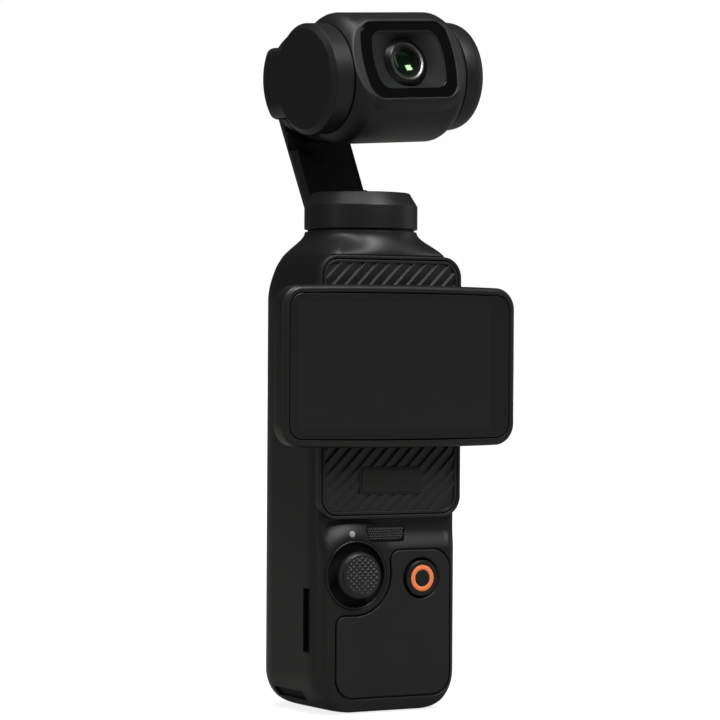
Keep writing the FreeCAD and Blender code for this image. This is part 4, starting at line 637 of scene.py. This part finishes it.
def grille_field():
    """A plate in X and Z whose depth falls in a round dimple near each hole's centre."""
    x, z = np.meshgrid(np.linspace(-5.1, 4.25, 210), np.linspace(33.85, 36.95, 72), indexing="ij")
    pitch, row = 0.56, 0.48
    off = np.full(x.shape, np.inf)
    for half in (0, 1):
        cx = np.round(x / pitch - half / 2) * pitch + half * pitch / 2
        cz = np.round(z / (2 * row) - half / 2) * 2 * row + half * row
        off = np.minimum(off, np.hypot(x - cx, z - cz))
    hole = np.clip((0.21 - off) / 0.06, 0, 1)
    slope = (z - 34.05) / 2.7
    centre, half_x = -0.45 + 0.03 * slope, 3.72 + 0.57 * slope
    edge = box_distance(x - centre, z, half_x, 1.12, 0.35, 35.4)
    sunk = np.clip(edge / 0.05, 0, 1)
    return np.stack([x, -11.22 + np.maximum(0.4 * hole, 0.9 * sunk), z], -1)


add_piece("Speaker_grille", [(grille_field(), False, False, False)], "handle", "grille",
          mesh_black, "speaker_grille", sharp=80)
light_profile = [(-10.4, 0), (-10.4, 0.71), (-11.9, 0.71), (-12.1, 0.63), (-12.2, 0.45),
                 (-12.25, 0.24), (-12.26, 0)]
add_piece("Status_light", [(turned(light_profile, "y", LIGHT_AT, 48), *TUBE)], "handle", "light",
          light_milky, "status_light")

# %% [markdown]
# ## Island, ribs and badge
# Under the screen lies a raised plate with diagonal ribs inside a narrow frame. The
# frame is a small closed profile carried round a rounded rectangle, so its two rims
# catch light as the real ones do. The ribs are saw teeth: a steep lit face, then a long
# ramp down to the next one. Every long line of a rib is cut where it meets the plate's
# border, found by walking along it in small steps.

# %% Island frame and plate
ISLAND_Y, FLOOR_Y, FIELD_Y = -12.4, -11.0, -12.0
STRIP, LANE, BORDER = 0.7, 0.88, 0.6
rim = 0.24
ring_profile = [(0, FLOOR_Y), *arc((rim, ISLAND_Y + rim), rim, 180, 270, 6),
                *arc((STRIP - rim, ISLAND_Y + rim), rim, 270, 360, 6), (STRIP, FLOOR_Y)]
add_piece("Island_frame", [(carried(island_loop(0), ring_profile), *RING)], "handle", "casing",
          ribbed_abs, "island_frame")

edge = 0.14
plate_profile = [(0, FLOOR_Y), *arc((edge, ISLAND_Y + edge), edge, 180, 270, 4),
                 *arc((BORDER - edge, ISLAND_Y + edge), edge, 270, 350, 4),
                 (BORDER, FIELD_Y - 0.05), (BORDER + 0.05, FIELD_Y), (BORDER + 0.1, FIELD_Y)]
add_piece("Ribbed_plate", [(carried(island_loop(LANE), plate_profile), *CAPPED)], "handle",
          "casing", ribbed_abs, "ribbed_plate")

# %% Ribs
RIB_PITCH, RIB_SHIFT, RIB_HALF = 2.8, 1.2, 0.96
BADGE_WIDE, BADGE_TALL, BADGE_Z = 13.3, 4.5, 45.9


def rib_bars():
    """Saw-tooth bars along the diagonal: each line w of a bar runs from where it enters
    the field to where it leaves."""
    section = np.array([(-RIB_HALF, FIELD_Y), (0.46, ISLAND_Y + 0.03), (0.58, ISLAND_Y),
                        (0.67, ISLAND_Y + 0.07), (RIB_HALF - 0.06, FIELD_Y - 0.03),
                        (RIB_HALF, FIELD_Y)])
    inset = LANE + BORDER
    half_x, half_z = ISLAND_WIDE / 2 - inset, ISLAND_TALL / 2 - inset
    count = int((half_x + half_z) / RIB_PITCH) + 1
    shift = np.arange(-count, count + 1) * RIB_PITCH + RIB_SHIFT
    t = np.linspace(-60, 60, 6001)
    slant = np.sqrt(0.5)
    x = shift[:, None, None] - slant * section[None, :, :1] + slant * t
    z = ISLAND_Z + slant * section[None, :, :1] + slant * t + 0 * x
    field = box_distance(x, z, half_x, half_z, ISLAND_ROUND - inset, ISLAND_Z) < 0
    badge = box_distance(x, z, BADGE_WIDE / 2 + 0.5, BADGE_TALL / 2 + 0.5, 0.6, BADGE_Z) < 0
    usable = field.any((1, 2)) & (field.sum(2).min(1) > 40)
    x, z, field, badge = x[usable], z[usable], field[usable], badge[usable]
    low, high = field.argmax(2), len(t) - 1 - field[..., ::-1].argmax(2)
    hit, gap_low = badge.any(2), badge.argmax(2)
    gap_high = len(t) - 1 - badge[..., ::-1].argmax(2)
    crossed = hit.any(1)
    line = np.arange(len(section))
    away = np.abs(line[:, None] - line) + np.where(hit[:, None, :], 0, 99)
    corner = np.take_along_axis((gap_low + gap_high) // 2, away.argmin(2), 1)
    gap_low, gap_high = np.where(hit, gap_low, corner), np.where(hit, gap_high, corner)
    spans = [(low[~crossed], high[~crossed], ~crossed),
             (low[crossed], gap_low[crossed], crossed), (gap_high[crossed], high[crossed], crossed)]
    grids = []
    for first, last, chosen in spans:
        xs, zs = x[chosen], z[chosen]
        for which in np.flatnonzero((last - first).min(1) >= 20):
            ends = [np.stack([xs[which, line, at], section[:, 1], zs[which, line, at]], -1)
                    for at in (first[which], last[which])]
            grids.append((np.stack(ends), False, False, True))
    return grids


add_piece("Diagonal_ribs", rib_bars(), "handle", "casing", ribbed_abs, sharp=20)

# %% Badge
bed = soft_tile(outline(BADGE_WIDE + 1, BADGE_TALL + 1, 0.7, (0, BADGE_Z)), FIELD_Y,
                ISLAND_Y + 0.04, 0.12)
blank = soft_tile(outline(BADGE_WIDE, BADGE_TALL, 0.6, (0, BADGE_Z)), FIELD_Y,
                  ISLAND_Y - 0.22, 0.16)
add_piece("Badge_blank", [bed, blank], "handle", "badge", casing_fine, "badge_plate")

# %% [markdown]
# ## The soft pad
# The pad is an overmoulded rubber patch that steps down round the joystick. Its outline
# is a chain of arcs: convex corners and one hollow bay. An arc's normal points away from
# its centre on a corner and towards it in the bay, and that is all the rounding needs.

# %% Pad
pad = make_mesh("Grip_pad", [soft_tile(pad_loop(0.1), -11.7, -12.34, 0.3)])
bore = turned([(-13, 4.7), (-12.42, 4.42), (-12.1, 4.02), (-11, 4.02)], "y", RECORD_AT)
cut(pad, (bore, *CAPPED))
finish_piece(pad, "handle", "pad", pad_rubber, "grip_pad")

# %% [markdown]
# ## Joystick and record button
# The thumb cap is a turned profile with a rounded shoulder and a low step round its
# textured disc. The disc is a diamond knurl on a polar grid: staggered small pyramids,
# each as high as one minus its distance to the nearest centre, in x plus in z.

# %% Thumb cap
cap_profile = [(-12.75, 0), (-12.75, 4.2), *arc((-13.1, 4.3), 0.38, 0, 90, 5),
               *arc((-13.3, 3.48), 1.2, 85, 150, 9), (-14.78, 4.15), (-14.82, 4.05),
               (-14.82, 3.95), (-14.74, 3.86), (-14.74, 0)]
add_piece("Thumb_cap", [(turned(cap_profile, "y", STICK_AT), *TUBE)], "stick", "thumb",
          stick_rubber, "joystick_cap")


def knurled_disc(radius, pitch, row, tall, rings=84, spokes=360):
    """A shallow dome with pyramids: height is 1 - |dx| / half pitch - |dz| / half row."""
    r = np.linspace(0, radius, rings)[:, None]
    a = np.linspace(0, 2 * np.pi, spokes, endpoint=False)[None]
    x, z = r * np.cos(a), r * np.sin(a)
    near = np.full(x.shape, np.inf)
    for half in (0, 1):
        cx = np.round(x / pitch - half / 2) * pitch + half * pitch / 2
        cz = np.round(z / row - half / 2) * row + half * row / 2
        near = np.minimum(near, np.abs(x - cx) * 2 / pitch + np.abs(z - cz) * 2 / row)
    dot = np.clip(1.1 * (1 - near) - 0.1, 0, 1)
    fade = np.clip((radius - 0.15 - r) / 0.2, 0, 1)
    dome = 0.1 * np.cos(0.5 * np.pi * r / radius)
    y = -14.84 - dome - tall * dot * fade
    return np.stack([x + STICK_X, y + 0 * x, z + STICK_Z], -1)


face = knurled_disc(3.86, 1.3, 1.15, 0.28)
rim_ring = face[-1:].copy()
rim_ring[..., 1] = -14.6
add_piece("Thumb_dots", [(np.concatenate([face, rim_ring]), *TUBE)], "stick", "thumb",
          stick_rubber, "joystick_grip", sharp=70)

# %% Well ring
ring_shape = [(-11.45, 6.86), *arc((-12.2, 6.61), 0.25, 90, 270, 12), (-11.45, 6.36)]
add_piece("Well_ring", [(turned(ring_shape, "y", STICK_AT), *RING)], "handle", "casing",
          casing_fine, "joystick_rim")

# %% Well bowl
bowl_profile = [(-12.05, 6.35), (-11.6, 6.25), (-11.0, 5.95), (-10.6, 5.3), (-10.45, 3.1),
                (-10.15, 3.1), (-10.2, 5.4), (-10.6, 6.15), (-11.3, 6.35)]
add_piece("Well_bowl", [(turned(bowl_profile, "y", STICK_AT), *RING)], "handle", "casing",
          socket_black, sharp=50)

# %% Record button
button_profile = [(-10.72, 0), (-10.72, 3.62), (-12.4, 3.62),
                  *arc((-12.4, 3.26), 0.36, 90, 175, 7)[1:], (-12.77, 2.9),
                  (-12.77, 2.66), (-12.62, 2.64), (-12.62, 1.66), (-12.77, 1.64),
                  (-12.76, 1.0), (-12.74, 0)]
add_piece("Record_button", [(turned(button_profile, "y", RECORD_AT), *TUBE)], "record_button",
          "casing", casing_fine, "record_cap", sharp=50)
mark_profile = [(-12.6, 2.61), (-12.75, 2.61), (-12.79, 2.56), (-12.79, 1.74), (-12.75, 1.69),
                (-12.6, 1.69)]
add_piece("Record_mark", [(turned(mark_profile, "y", RECORD_AT), *RING)], "record_button",
          "ring_mark", mark_orange, "record_ring", sharp=50)

# %% [markdown]
# ## The screen
# The housing is a shallow tray with a large round on its back edge and a smaller one in
# front, and its long edges bow out by 0.4 mm. One profile carried round the outline
# gives all of it, down to the floor under the glass. The glass is a separate soft-edged
# tile, so the dark seam round it is real.

# %% Screen housing and glass
SCREEN_X, SCREEN_Z = -0.6, 68.6


def bowed(width, height, radius, bow):
    """A rounded rectangle whose long edges move out by bow times 1 - (2 x / width)^2."""
    points, normals = outline(width, height, radius, steps=16)
    t = np.linspace(0, 1, 26)[1:-1, None]
    joins = (16, 48)
    for join in joins[::-1]:
        points = np.insert(points, join, points[join - 1] * (1 - t) + points[join] * t, 0)
        normals = np.insert(normals, join, normals[join] + 0 * t, 0)
    points[:, 1] += bow * (1 - (2 * points[:, 0] / width) ** 2) * np.sign(points[:, 1])
    return points + (SCREEN_X, SCREEN_Z), normals


tray_profile = [(1.36, -12.9), *arc((1.3, -14.2), 1.3, 90, 180, 9),
                *arc((1.0, -16.45), 1.0, 180, 270, 9), (1.36, -17.45),
                (1.42, -17.43), (1.44, -17.38), (1.44, -15.6), (1.5, -15.6)]
add_piece("Screen_housing", [(carried(bowed(53.4, 31.3, 4.2, 0.4), tray_profile), *CAPPED)],
          "screen", "casing", casing_fine, "screen_housing")
add_piece("Screen_glass", [soft_tile(bowed(50.2, 28.2, 2.8, 0.18), -16.6, -17.43, 0.12)],
          "screen", "screen_glass", glass_cover, "screen_glass")

# %% [markdown]
# ## Neck ring
# The ring that turns with the arm is one turned profile: a straight side, a crisp
# sloped edge and a flat top. Both edges get a 0.2 mm round, which is the thin bright
# line seen all the way round it.

# %% Neck ring
neck_profile = [(96.0, 9.9), (96.0, 11.3), (96.12, 11.43), (100.55, 11.43), (100.72, 11.41),
                (100.88, 11.32), (103.2, 9.9), (103.34, 9.78), (103.4, 9.6), (103.4, 0),
                (101.0, 0), (101.0, 9.9)]
add_piece("Neck_ring", [(turned(neck_profile, "z", steps=180), *RING)], "pan_arm", "gimbal",
          gimbal_paint, "neck_ring", sharp=24)

# %% [markdown]
# ## The camera head
# Pan, roll and tilt leave the head slightly turned. Its pieces are worked out in the
# head's own frame, where X is the tilt axis and the lens looks along -Y, and one matrix
# product puts their points in place, so the objects themselves stay unturned.

# %% Head frame
HEAD_Z = 126.7
PAN_REST, ROLL_REST, TILT_REST = 3.7, -3.9, -15.0


def turn(axis, degrees):
    """The matrix that turns a point about X, Y or Z."""
    c, s = np.cos(np.radians(degrees)), np.sin(np.radians(degrees))
    return np.array({"x": [[1, 0, 0], [0, c, -s], [0, s, c]],
                     "y": [[c, 0, s], [0, 1, 0], [-s, 0, c]],
                     "z": [[c, -s, 0], [s, c, 0], [0, 0, 1]]}[axis])


ROLL_FRAME = turn("z", PAN_REST) @ turn("y", ROLL_REST)
HEAD_FRAME = ROLL_FRAME @ turn("x", TILT_REST)


def hung(points, matrix=HEAD_FRAME):
    """Points of a turned frame put in place: matrix times point, plus the head's centre."""
    return points @ matrix.T + np.array([0, 0, HEAD_Z])


print("tilt axis", HEAD_FRAME[:, 0].round(3), "lens looks along", -HEAD_FRAME[:, 1].round(3))

# %% [markdown]
# ### Window outline
# The window's sides bow outwards and its corners are tight. A loop of it runs in eight
# equal-count pieces, from the middle of an edge to the middle of a corner. The lens
# circle and the barrel's own border use the same eight pieces, so any two loops can be
# joined row to row without twisted quads.

# %% Window loops
STEPS = 22
BOW = 0.12
WINDOW_AT = (4.6, 0.1)
WINDOW_HALF = (11.32, 8.2, 2.7)
LENS_AT = (4.7, 0.05)


def evenly(points, count):
    """A polyline's points taken again at equal distances along it."""
    run = np.concatenate([[0], np.cumsum(np.hypot(*np.diff(points, axis=0).T))])
    at = np.linspace(0, run[-1], count + 1)
    return np.stack([np.interp(at, run, points[:, 0]), np.interp(at, run, points[:, 1])], -1)


def bowed_loop(half_x, half_z, radius, middle=WINDOW_AT, bow=BOW):
    """A rounded rectangle whose x is multiplied by 1 - bow (z / half_z) squared."""
    rise = arc((half_x - radius, half_z - radius), radius, 0, 45, 30)
    over = arc((half_x - radius, half_z - radius), radius, 45, 90, 30)
    rise = evenly(np.concatenate([[(half_x, 0)], rise]), STEPS)
    over = evenly(np.concatenate([over, [(0, half_z)]]), STEPS)
    quarter = np.concatenate([rise[:-1], over])
    mirrored = quarter[::-1] * (-1, 1)
    half = np.concatenate([quarter[:-1], mirrored[:-1]])
    loop = np.concatenate([half, -half])
    loop[:, 0] *= 1 - bow * (loop[:, 1] / half_z) ** 2
    return loop + np.array(middle)


def window_row(inset, y, half=WINDOW_HALF):
    """One ring of points in the head's frame: the bowed loop drawn in, at a depth."""
    loop = bowed_loop(half[0] - inset, half[1] - inset, max(half[2] - inset, 0.3))
    return np.stack([loop[:, 0], y + 0 * loop[:, 0], loop[:, 1]], -1)


def round_row(radius, y, at):
    """One ring of points on a circle, counted like a window loop."""
    loop = bowed_loop(radius, radius, radius, at, 0.0)
    return np.stack([loop[:, 0], y + 0 * loop[:, 0], loop[:, 1]], -1)


# %% [markdown]
# ### Barrel
# The barrel is turned about the tilt axis and cut flat in front, where it swells gently
# into the window's lip. In front its surface is a function of x and z: the smaller of
# the round depth and the flat one, with a soft change, then pulled to the lip near the
# outline. Behind, it is a plain turned surface. Both share their border points.

# %% Barrel surface
BARREL_ENDS, BARREL_R, BARREL_DROP, SHOULDER = (-8.85, 18.05), 13.2, 2.1, 3.2
FLAT, SIDE_ANGLE = 11.0, 75.0


def barrel_radius(x):
    """Main radius less the drop times u squared, with u from 0 to 1 over each shoulder."""
    u = np.maximum(BARREL_ENDS[0] + SHOULDER - x, x - BARREL_ENDS[1] + SHOULDER) / SHOULDER
    return BARREL_R - BARREL_DROP * np.clip(u, 0, 1) ** 2


def barrel_front(x, z):
    """Depth of the barrel's front at x and z, swollen to the flat near the window."""
    deep = np.sqrt(np.maximum(barrel_radius(x) ** 2 - z ** 2, 0.01))
    depth = soft_min(deep, FLAT + 0 * deep, 0.5)
    off = box_distance(x - WINDOW_AT[0], z, WINDOW_HALF[0] - 0.5, WINDOW_HALF[1], 4.0,
                       WINDOW_AT[1])
    near = 1 - np.clip(off / 2.2, 0, 1)
    swell = near * near * (3 - 2 * near)
    return np.stack([x, -np.where(depth < FLAT, depth + (FLAT - depth) * swell, depth), z], -1)


def barrel_grids():
    """The front patch with its lip and bore, the turned back, and the two end faces."""
    middle, half_x = sum(BARREL_ENDS) / 2, (BARREL_ENDS[1] - BARREL_ENDS[0]) / 2
    border = bowed_loop(half_x, 1.0, 1e-4, (middle, 0.0), 0.0)
    border[:, 1] *= barrel_radius(border[:, 0]) * np.sin(np.radians(SIDE_ANGLE))
    lip = bowed_loop(*WINDOW_HALF)
    t = np.linspace(0, 1, 34)[:, None, None]
    spots = border * (1 - t) + lip * t
    patch = barrel_front(spots[..., 0], spots[..., 1])
    patch[-1, :, 1] = -FLAT
    lip_profile = ((0.08, -FLAT), (0.16, -10.97), (0.23, -10.88), (0.26, -10.75), (0.26, -9.3))
    inner = [window_row(inset, y) for inset, y in lip_profile]
    inner += [round_row(5.6, -9.3, LENS_AT), round_row(5.6, -2.6, LENS_AT)]
    front = np.concatenate([patch, np.stack(inner)])
    along = border[STEPS:3 * STEPS + 1, 0]
    a = np.radians(np.linspace(SIDE_ANGLE, 360 - SIDE_ANGLE, 120))[:, None]
    radius = barrel_radius(along)
    back = np.stack([along + 0 * a, -radius * np.cos(a), radius * np.sin(a)], -1)
    left = np.concatenate([patch[0, 3 * STEPS:5 * STEPS + 1], back[::-1, -1]])
    right = np.concatenate([patch[0, 7 * STEPS:], patch[0, :STEPS + 1], back[:, 0]])
    faces = [(hung(np.stack([ring, ring * (1, 0.8, 0.8), ring * (1, 0.4, 0.4)])), False, True,
              "last") for ring in (left, right)]
    return [(hung(front), False, True, "last"), (hung(back), False, False, False), *faces]


add_piece("Camera_barrel", barrel_grids(), "camera_head", "gimbal", gimbal_paint, "camera_barrel",
          sharp=30)

# %% [markdown]
# ### Window, lens plate and lens
# The window is a glossy black frame, set a hair below the barrel's lip, so the lip's
# round edge draws the thin light line round it. Inside it a dished grey plate runs down
# to a black cone that carries the bright lens ring. Stepped black rings stop stray light
# behind it, and the lens is a small coated bowl that throws a green glint.

# %% Window and lens plate
PLATE_HALF = (8.62, 6.1, 2.2)
frame_rows = [window_row(0.34, -10.0), window_row(0.34, -10.84), window_row(0.42, -10.92),
              window_row(-0.1, -10.92, PLATE_HALF), window_row(0, -10.85, PLATE_HALF),
              window_row(0, -10.0, PLATE_HALF)]
add_piece("Window_frame", [(hung(np.stack(frame_rows)), *RING)], "camera_head", "window",
          glass_window, "window_frame", sharp=30)

t = np.linspace(0, 1, 14)[1:, None, None]
rim_row, hole_row = window_row(0.34, -10.84, PLATE_HALF), round_row(5.12, -9.3, LENS_AT)
dish = rim_row * (1 - t) + hole_row * t
dish[..., 1] -= 0.25 * np.sin(np.pi * t[..., 0])
plate_rows = [window_row(inset, y, PLATE_HALF) for inset, y in
              ((0.03, -9.6), (0.03, -10.9), (0.1, -10.98), (0.2, -10.97), (0.3, -10.89))]
plate_rows = np.concatenate([np.stack(plate_rows), rim_row[None], dish,
                             round_row(5.1, -8.6, LENS_AT)[None]])
add_piece("Lens_plate", [(hung(plate_rows), *RING)], "camera_head", "lens_plate", plate_grey,
          "lens_plate", sharp=40)


# %% Lens
def lens_part(name, profile, slot, material, *replaced, sharp=35.0):
    """A part turned about the lens axis: its profile is (y, radius), closed on itself."""
    spots = turned(profile, "y", (LENS_AT[0], 0, LENS_AT[1]), 96)
    add_piece(name, [(hung(spots), *RING)], "camera_head", slot, material, *replaced,
              sharp=sharp)


lens_part("Lens_cone", [(-8.6, 5.06), (-9.2, 5.06), (-9.32, 4.98), (-9.8, 4.12), (-9.9, 4.0),
                        (-9.9, 3.9), (-8.6, 3.9)], "lens_plate", cone_black)
lens_part("Lens_ring", [(-9.0, 3.96), (-9.92, 3.96), (-10.0, 3.88), (-10.0, 3.62),
                        (-9.9, 3.36), (-9.8, 3.3), (-9.0, 3.3)], "lens_ring", bright_ring,
          "lens_ring")
steps = [(-9.7, 3.32), (-9.7, 3.1), (-9.4, 3.0), (-9.42, 2.86), (-9.1, 2.78), (-9.12, 2.64),
         (-8.85, 2.56), (-8.87, 2.44), (-8.5, 2.4), (-8.0, 2.4), (-8.0, 3.32)]
lens_part("Lens_barrel", steps, "lens_ring", bore_black_and_shade, "lens_barrel", sharp=20.0)
bowl = [(-7.6, 0), (-7.6, 2.42), (-8.62, 2.42)]
depth = np.linspace(2.38, 0, 16)
bowl += list(zip((-8.05 - 0.55 * (depth / 2.38) ** 2).tolist(), depth.tolist()))
lens_part("Lens_glass", bowl, "lens", glass_lens, "lens_elements", sharp=60.0)

# %% [markdown]
# ### End cap
# The right end is closed by a cap with a wide soft edge: a turned profile whose corner
# is a quarter of an ellipse.

# %% End cap
a = np.radians(np.linspace(90, 0, 14))
cap_corner = np.stack([20.5 + 2.56 * np.cos(a), 9.7 + 1.36 * np.sin(a)], -1)
cap_profile = [(17.0, 0), (17.0, 9.4), (18.3, 9.4), (18.3, 10.95), (18.38, 11.07), (18.5, 11.1),
               *cap_corner.tolist(), (23.06, 0)]
add_piece("End_cap", [(hung(turned(cap_profile, "x")), *TUBE)], "camera_head", "gimbal",
          gimbal_paint, "end_cap", sharp=40)

# %% [markdown]
# ## Stage, light and camera
# A pale floor and an even white surround stand in for the studio. The background is
# white to the camera, and a dim share of that white to glossy and transmission rays;
# one softbox above, one high in front on the right and two weak ones at the sides give
# the long soft highlights.

# %% Floor and world
floor_mesh = bpy.data.meshes.new("Floor")
reach = 6.0
floor_mesh.from_pydata([(-reach, -reach, -0.0002), (reach, -reach, -0.0002),
                        (reach, reach, -0.0002), (-reach, reach, -0.0002)], [], [(0, 1, 2, 3)])
floor = bpy.data.objects.new("Floor", floor_mesh)
bpy.context.scene.collection.objects.link(floor)


ROOM_SHARE = 0.06  # share of the white surround that reflections and refractions see


def seen_white(tree):
    """1 for camera rays and a share of it for glossy and transmission rays.

    Black satin goods are photographed in a mostly dark room with a white backdrop, so
    the gloss sees the same background as the camera, only dimmer.
    """
    path = add_node(tree, "ShaderNodeLightPath")
    mirrored = add_node(tree, "ShaderNodeMath", {"operation": "MAXIMUM"},
                        {0: path.outputs["Is Glossy Ray"],
                         1: path.outputs["Is Transmission Ray"]})
    dimmed = add_node(tree, "ShaderNodeMath", {"operation": "MULTIPLY", 1: ROOM_SHARE},
                      {0: mirrored.outputs[0]})
    return add_node(tree, "ShaderNodeMath", {"operation": "MAXIMUM"},
                    {0: path.outputs["Is Camera Ray"], 1: dimmed.outputs[0]}).outputs[0]


floor_paint, tree, place = new_material("Pale_studio_floor")
pale = blend(tree, "#80807e", "#858583", speckle(tree, place, 100 / 3))
matte = add_node(tree, "ShaderNodeBsdfDiffuse", links={"Color": pale})
away = add_node(tree, "ShaderNodeVectorMath", {"operation": "LENGTH"}, {0: place})
far = add_node(tree, "ShaderNodeMapRange", {"From Min": 0.15, "From Max": 0.7, "To Min": 0.84,
                                            "To Max": 1.0}, {"Value": away.outputs["Value"]})
glow_power = add_node(tree, "ShaderNodeMath", {"operation": "MULTIPLY"},
                      {0: far.outputs["Result"], 1: seen_white(tree)})
glow = add_node(tree, "ShaderNodeEmission", {"Color": (1, 1, 1, 1)},
                {"Strength": glow_power.outputs[0]})
both = add_node(tree, "ShaderNodeAddShader", links={0: matte.outputs[0], 1: glow.outputs[0]})
close_material(tree, both)
floor_mesh.materials.append(floor_paint)

AMBIENT = 0.6  # light of the room on matte surfaces
world = bpy.data.worlds.new("Studio")
bpy.context.scene.world = world
world.use_nodes = True
tree = world.node_tree
tree.nodes.clear()
path = add_node(tree, "ShaderNodeLightPath")
shown = seen_white(tree)
unlit = add_node(tree, "ShaderNodeMath", {"operation": "MULTIPLY", 1: AMBIENT},
                 {0: path.outputs["Is Diffuse Ray"]})
strength = add_node(tree, "ShaderNodeMath", {"operation": "ADD"}, {0: shown, 1: unlit.outputs[0]})
surround = add_node(tree, "ShaderNodeBackground", {"Color": (1, 1, 1, 1)},
                    {"Strength": strength.outputs[0]})
add_node(tree, "ShaderNodeOutputWorld", links={"Surface": surround.outputs[0]})


# %% Softboxes
def stand(item, side, up, back, place):
    """Puts an object in the scene with its three axes and its place given."""
    stance = np.eye(4)
    stance[:3] = np.stack([side, up, back, place], 1)
    item.matrix_world = Matrix(stance.tolist())
    bpy.context.scene.collection.objects.link(item)


def softbox(name, place, target, width, height, power):
    """A rectangular lamp that looks at a target."""
    lamp = bpy.data.lights.new(name, "AREA")
    lamp.shape = "RECTANGLE"
    lamp.size, lamp.size_y, lamp.energy = width, height, power
    away = np.array(place, float) - np.array(target, float)
    away /= np.linalg.norm(away)
    side = np.cross((0, 0, 1.0), away)
    side /= np.linalg.norm(side)
    stand(bpy.data.objects.new(name, lamp), side, np.cross(away, side), away, place)


softbox("Top", (-0.14, -0.06, 0.66), (0, 0, 0.09), 0.34, 0.34, 2.8)
softbox("High_front", (0.12, -0.44, 0.59), (0, 0, 0.07), 0.24, 0.24, 4.0)
softbox("Left_side", (-0.75, -0.10, 0.25), (0, 0, 0.09), 0.25, 0.4, 0.4)
softbox("Right_side", (0.65, -0.1, 0.25), (0, 0, 0.09), 0.25, 0.5, 0.35)

# %% [markdown]
# ### The camera
# The photograph was taken about 30 degrees to the left of straight on, from the height
# of the screen, with a long lens. Its direction, roll and distance come from a fit of
# measured corners of the object, so they are given here as numbers.

# %% Camera
AZIMUTH, ELEVATION, ROLL = np.radians((30.18, -0.20, -0.34))
FOCAL_PIXELS, DISTANCE, PICTURE = 3064.0, 0.619, 720
look_at = np.array([0.0, 0.0, 0.06975])
view = np.array([np.sin(AZIMUTH) * np.cos(ELEVATION), np.cos(AZIMUTH) * np.cos(ELEVATION),
                 np.sin(ELEVATION)])
level = np.array([np.cos(AZIMUTH), -np.sin(AZIMUTH), 0.0])
upright = np.cross(level, view)
eye = look_at - DISTANCE * view
lens = bpy.data.cameras.new("Photo_camera")
lens.sensor_width = 36.0
lens.lens = FOCAL_PIXELS * lens.sensor_width / PICTURE
lens.clip_start = 0.01
camera = bpy.data.objects.new("Photo_camera", lens)
stand(camera, np.cos(ROLL) * level - np.sin(ROLL) * upright,
      np.sin(ROLL) * level + np.cos(ROLL) * upright, -view, eye)
bpy.context.scene.camera = camera
bpy.context.scene.view_settings.view_transform = "Standard"
print("lens", round(lens.lens, 1), "mm at", eye.round(4))
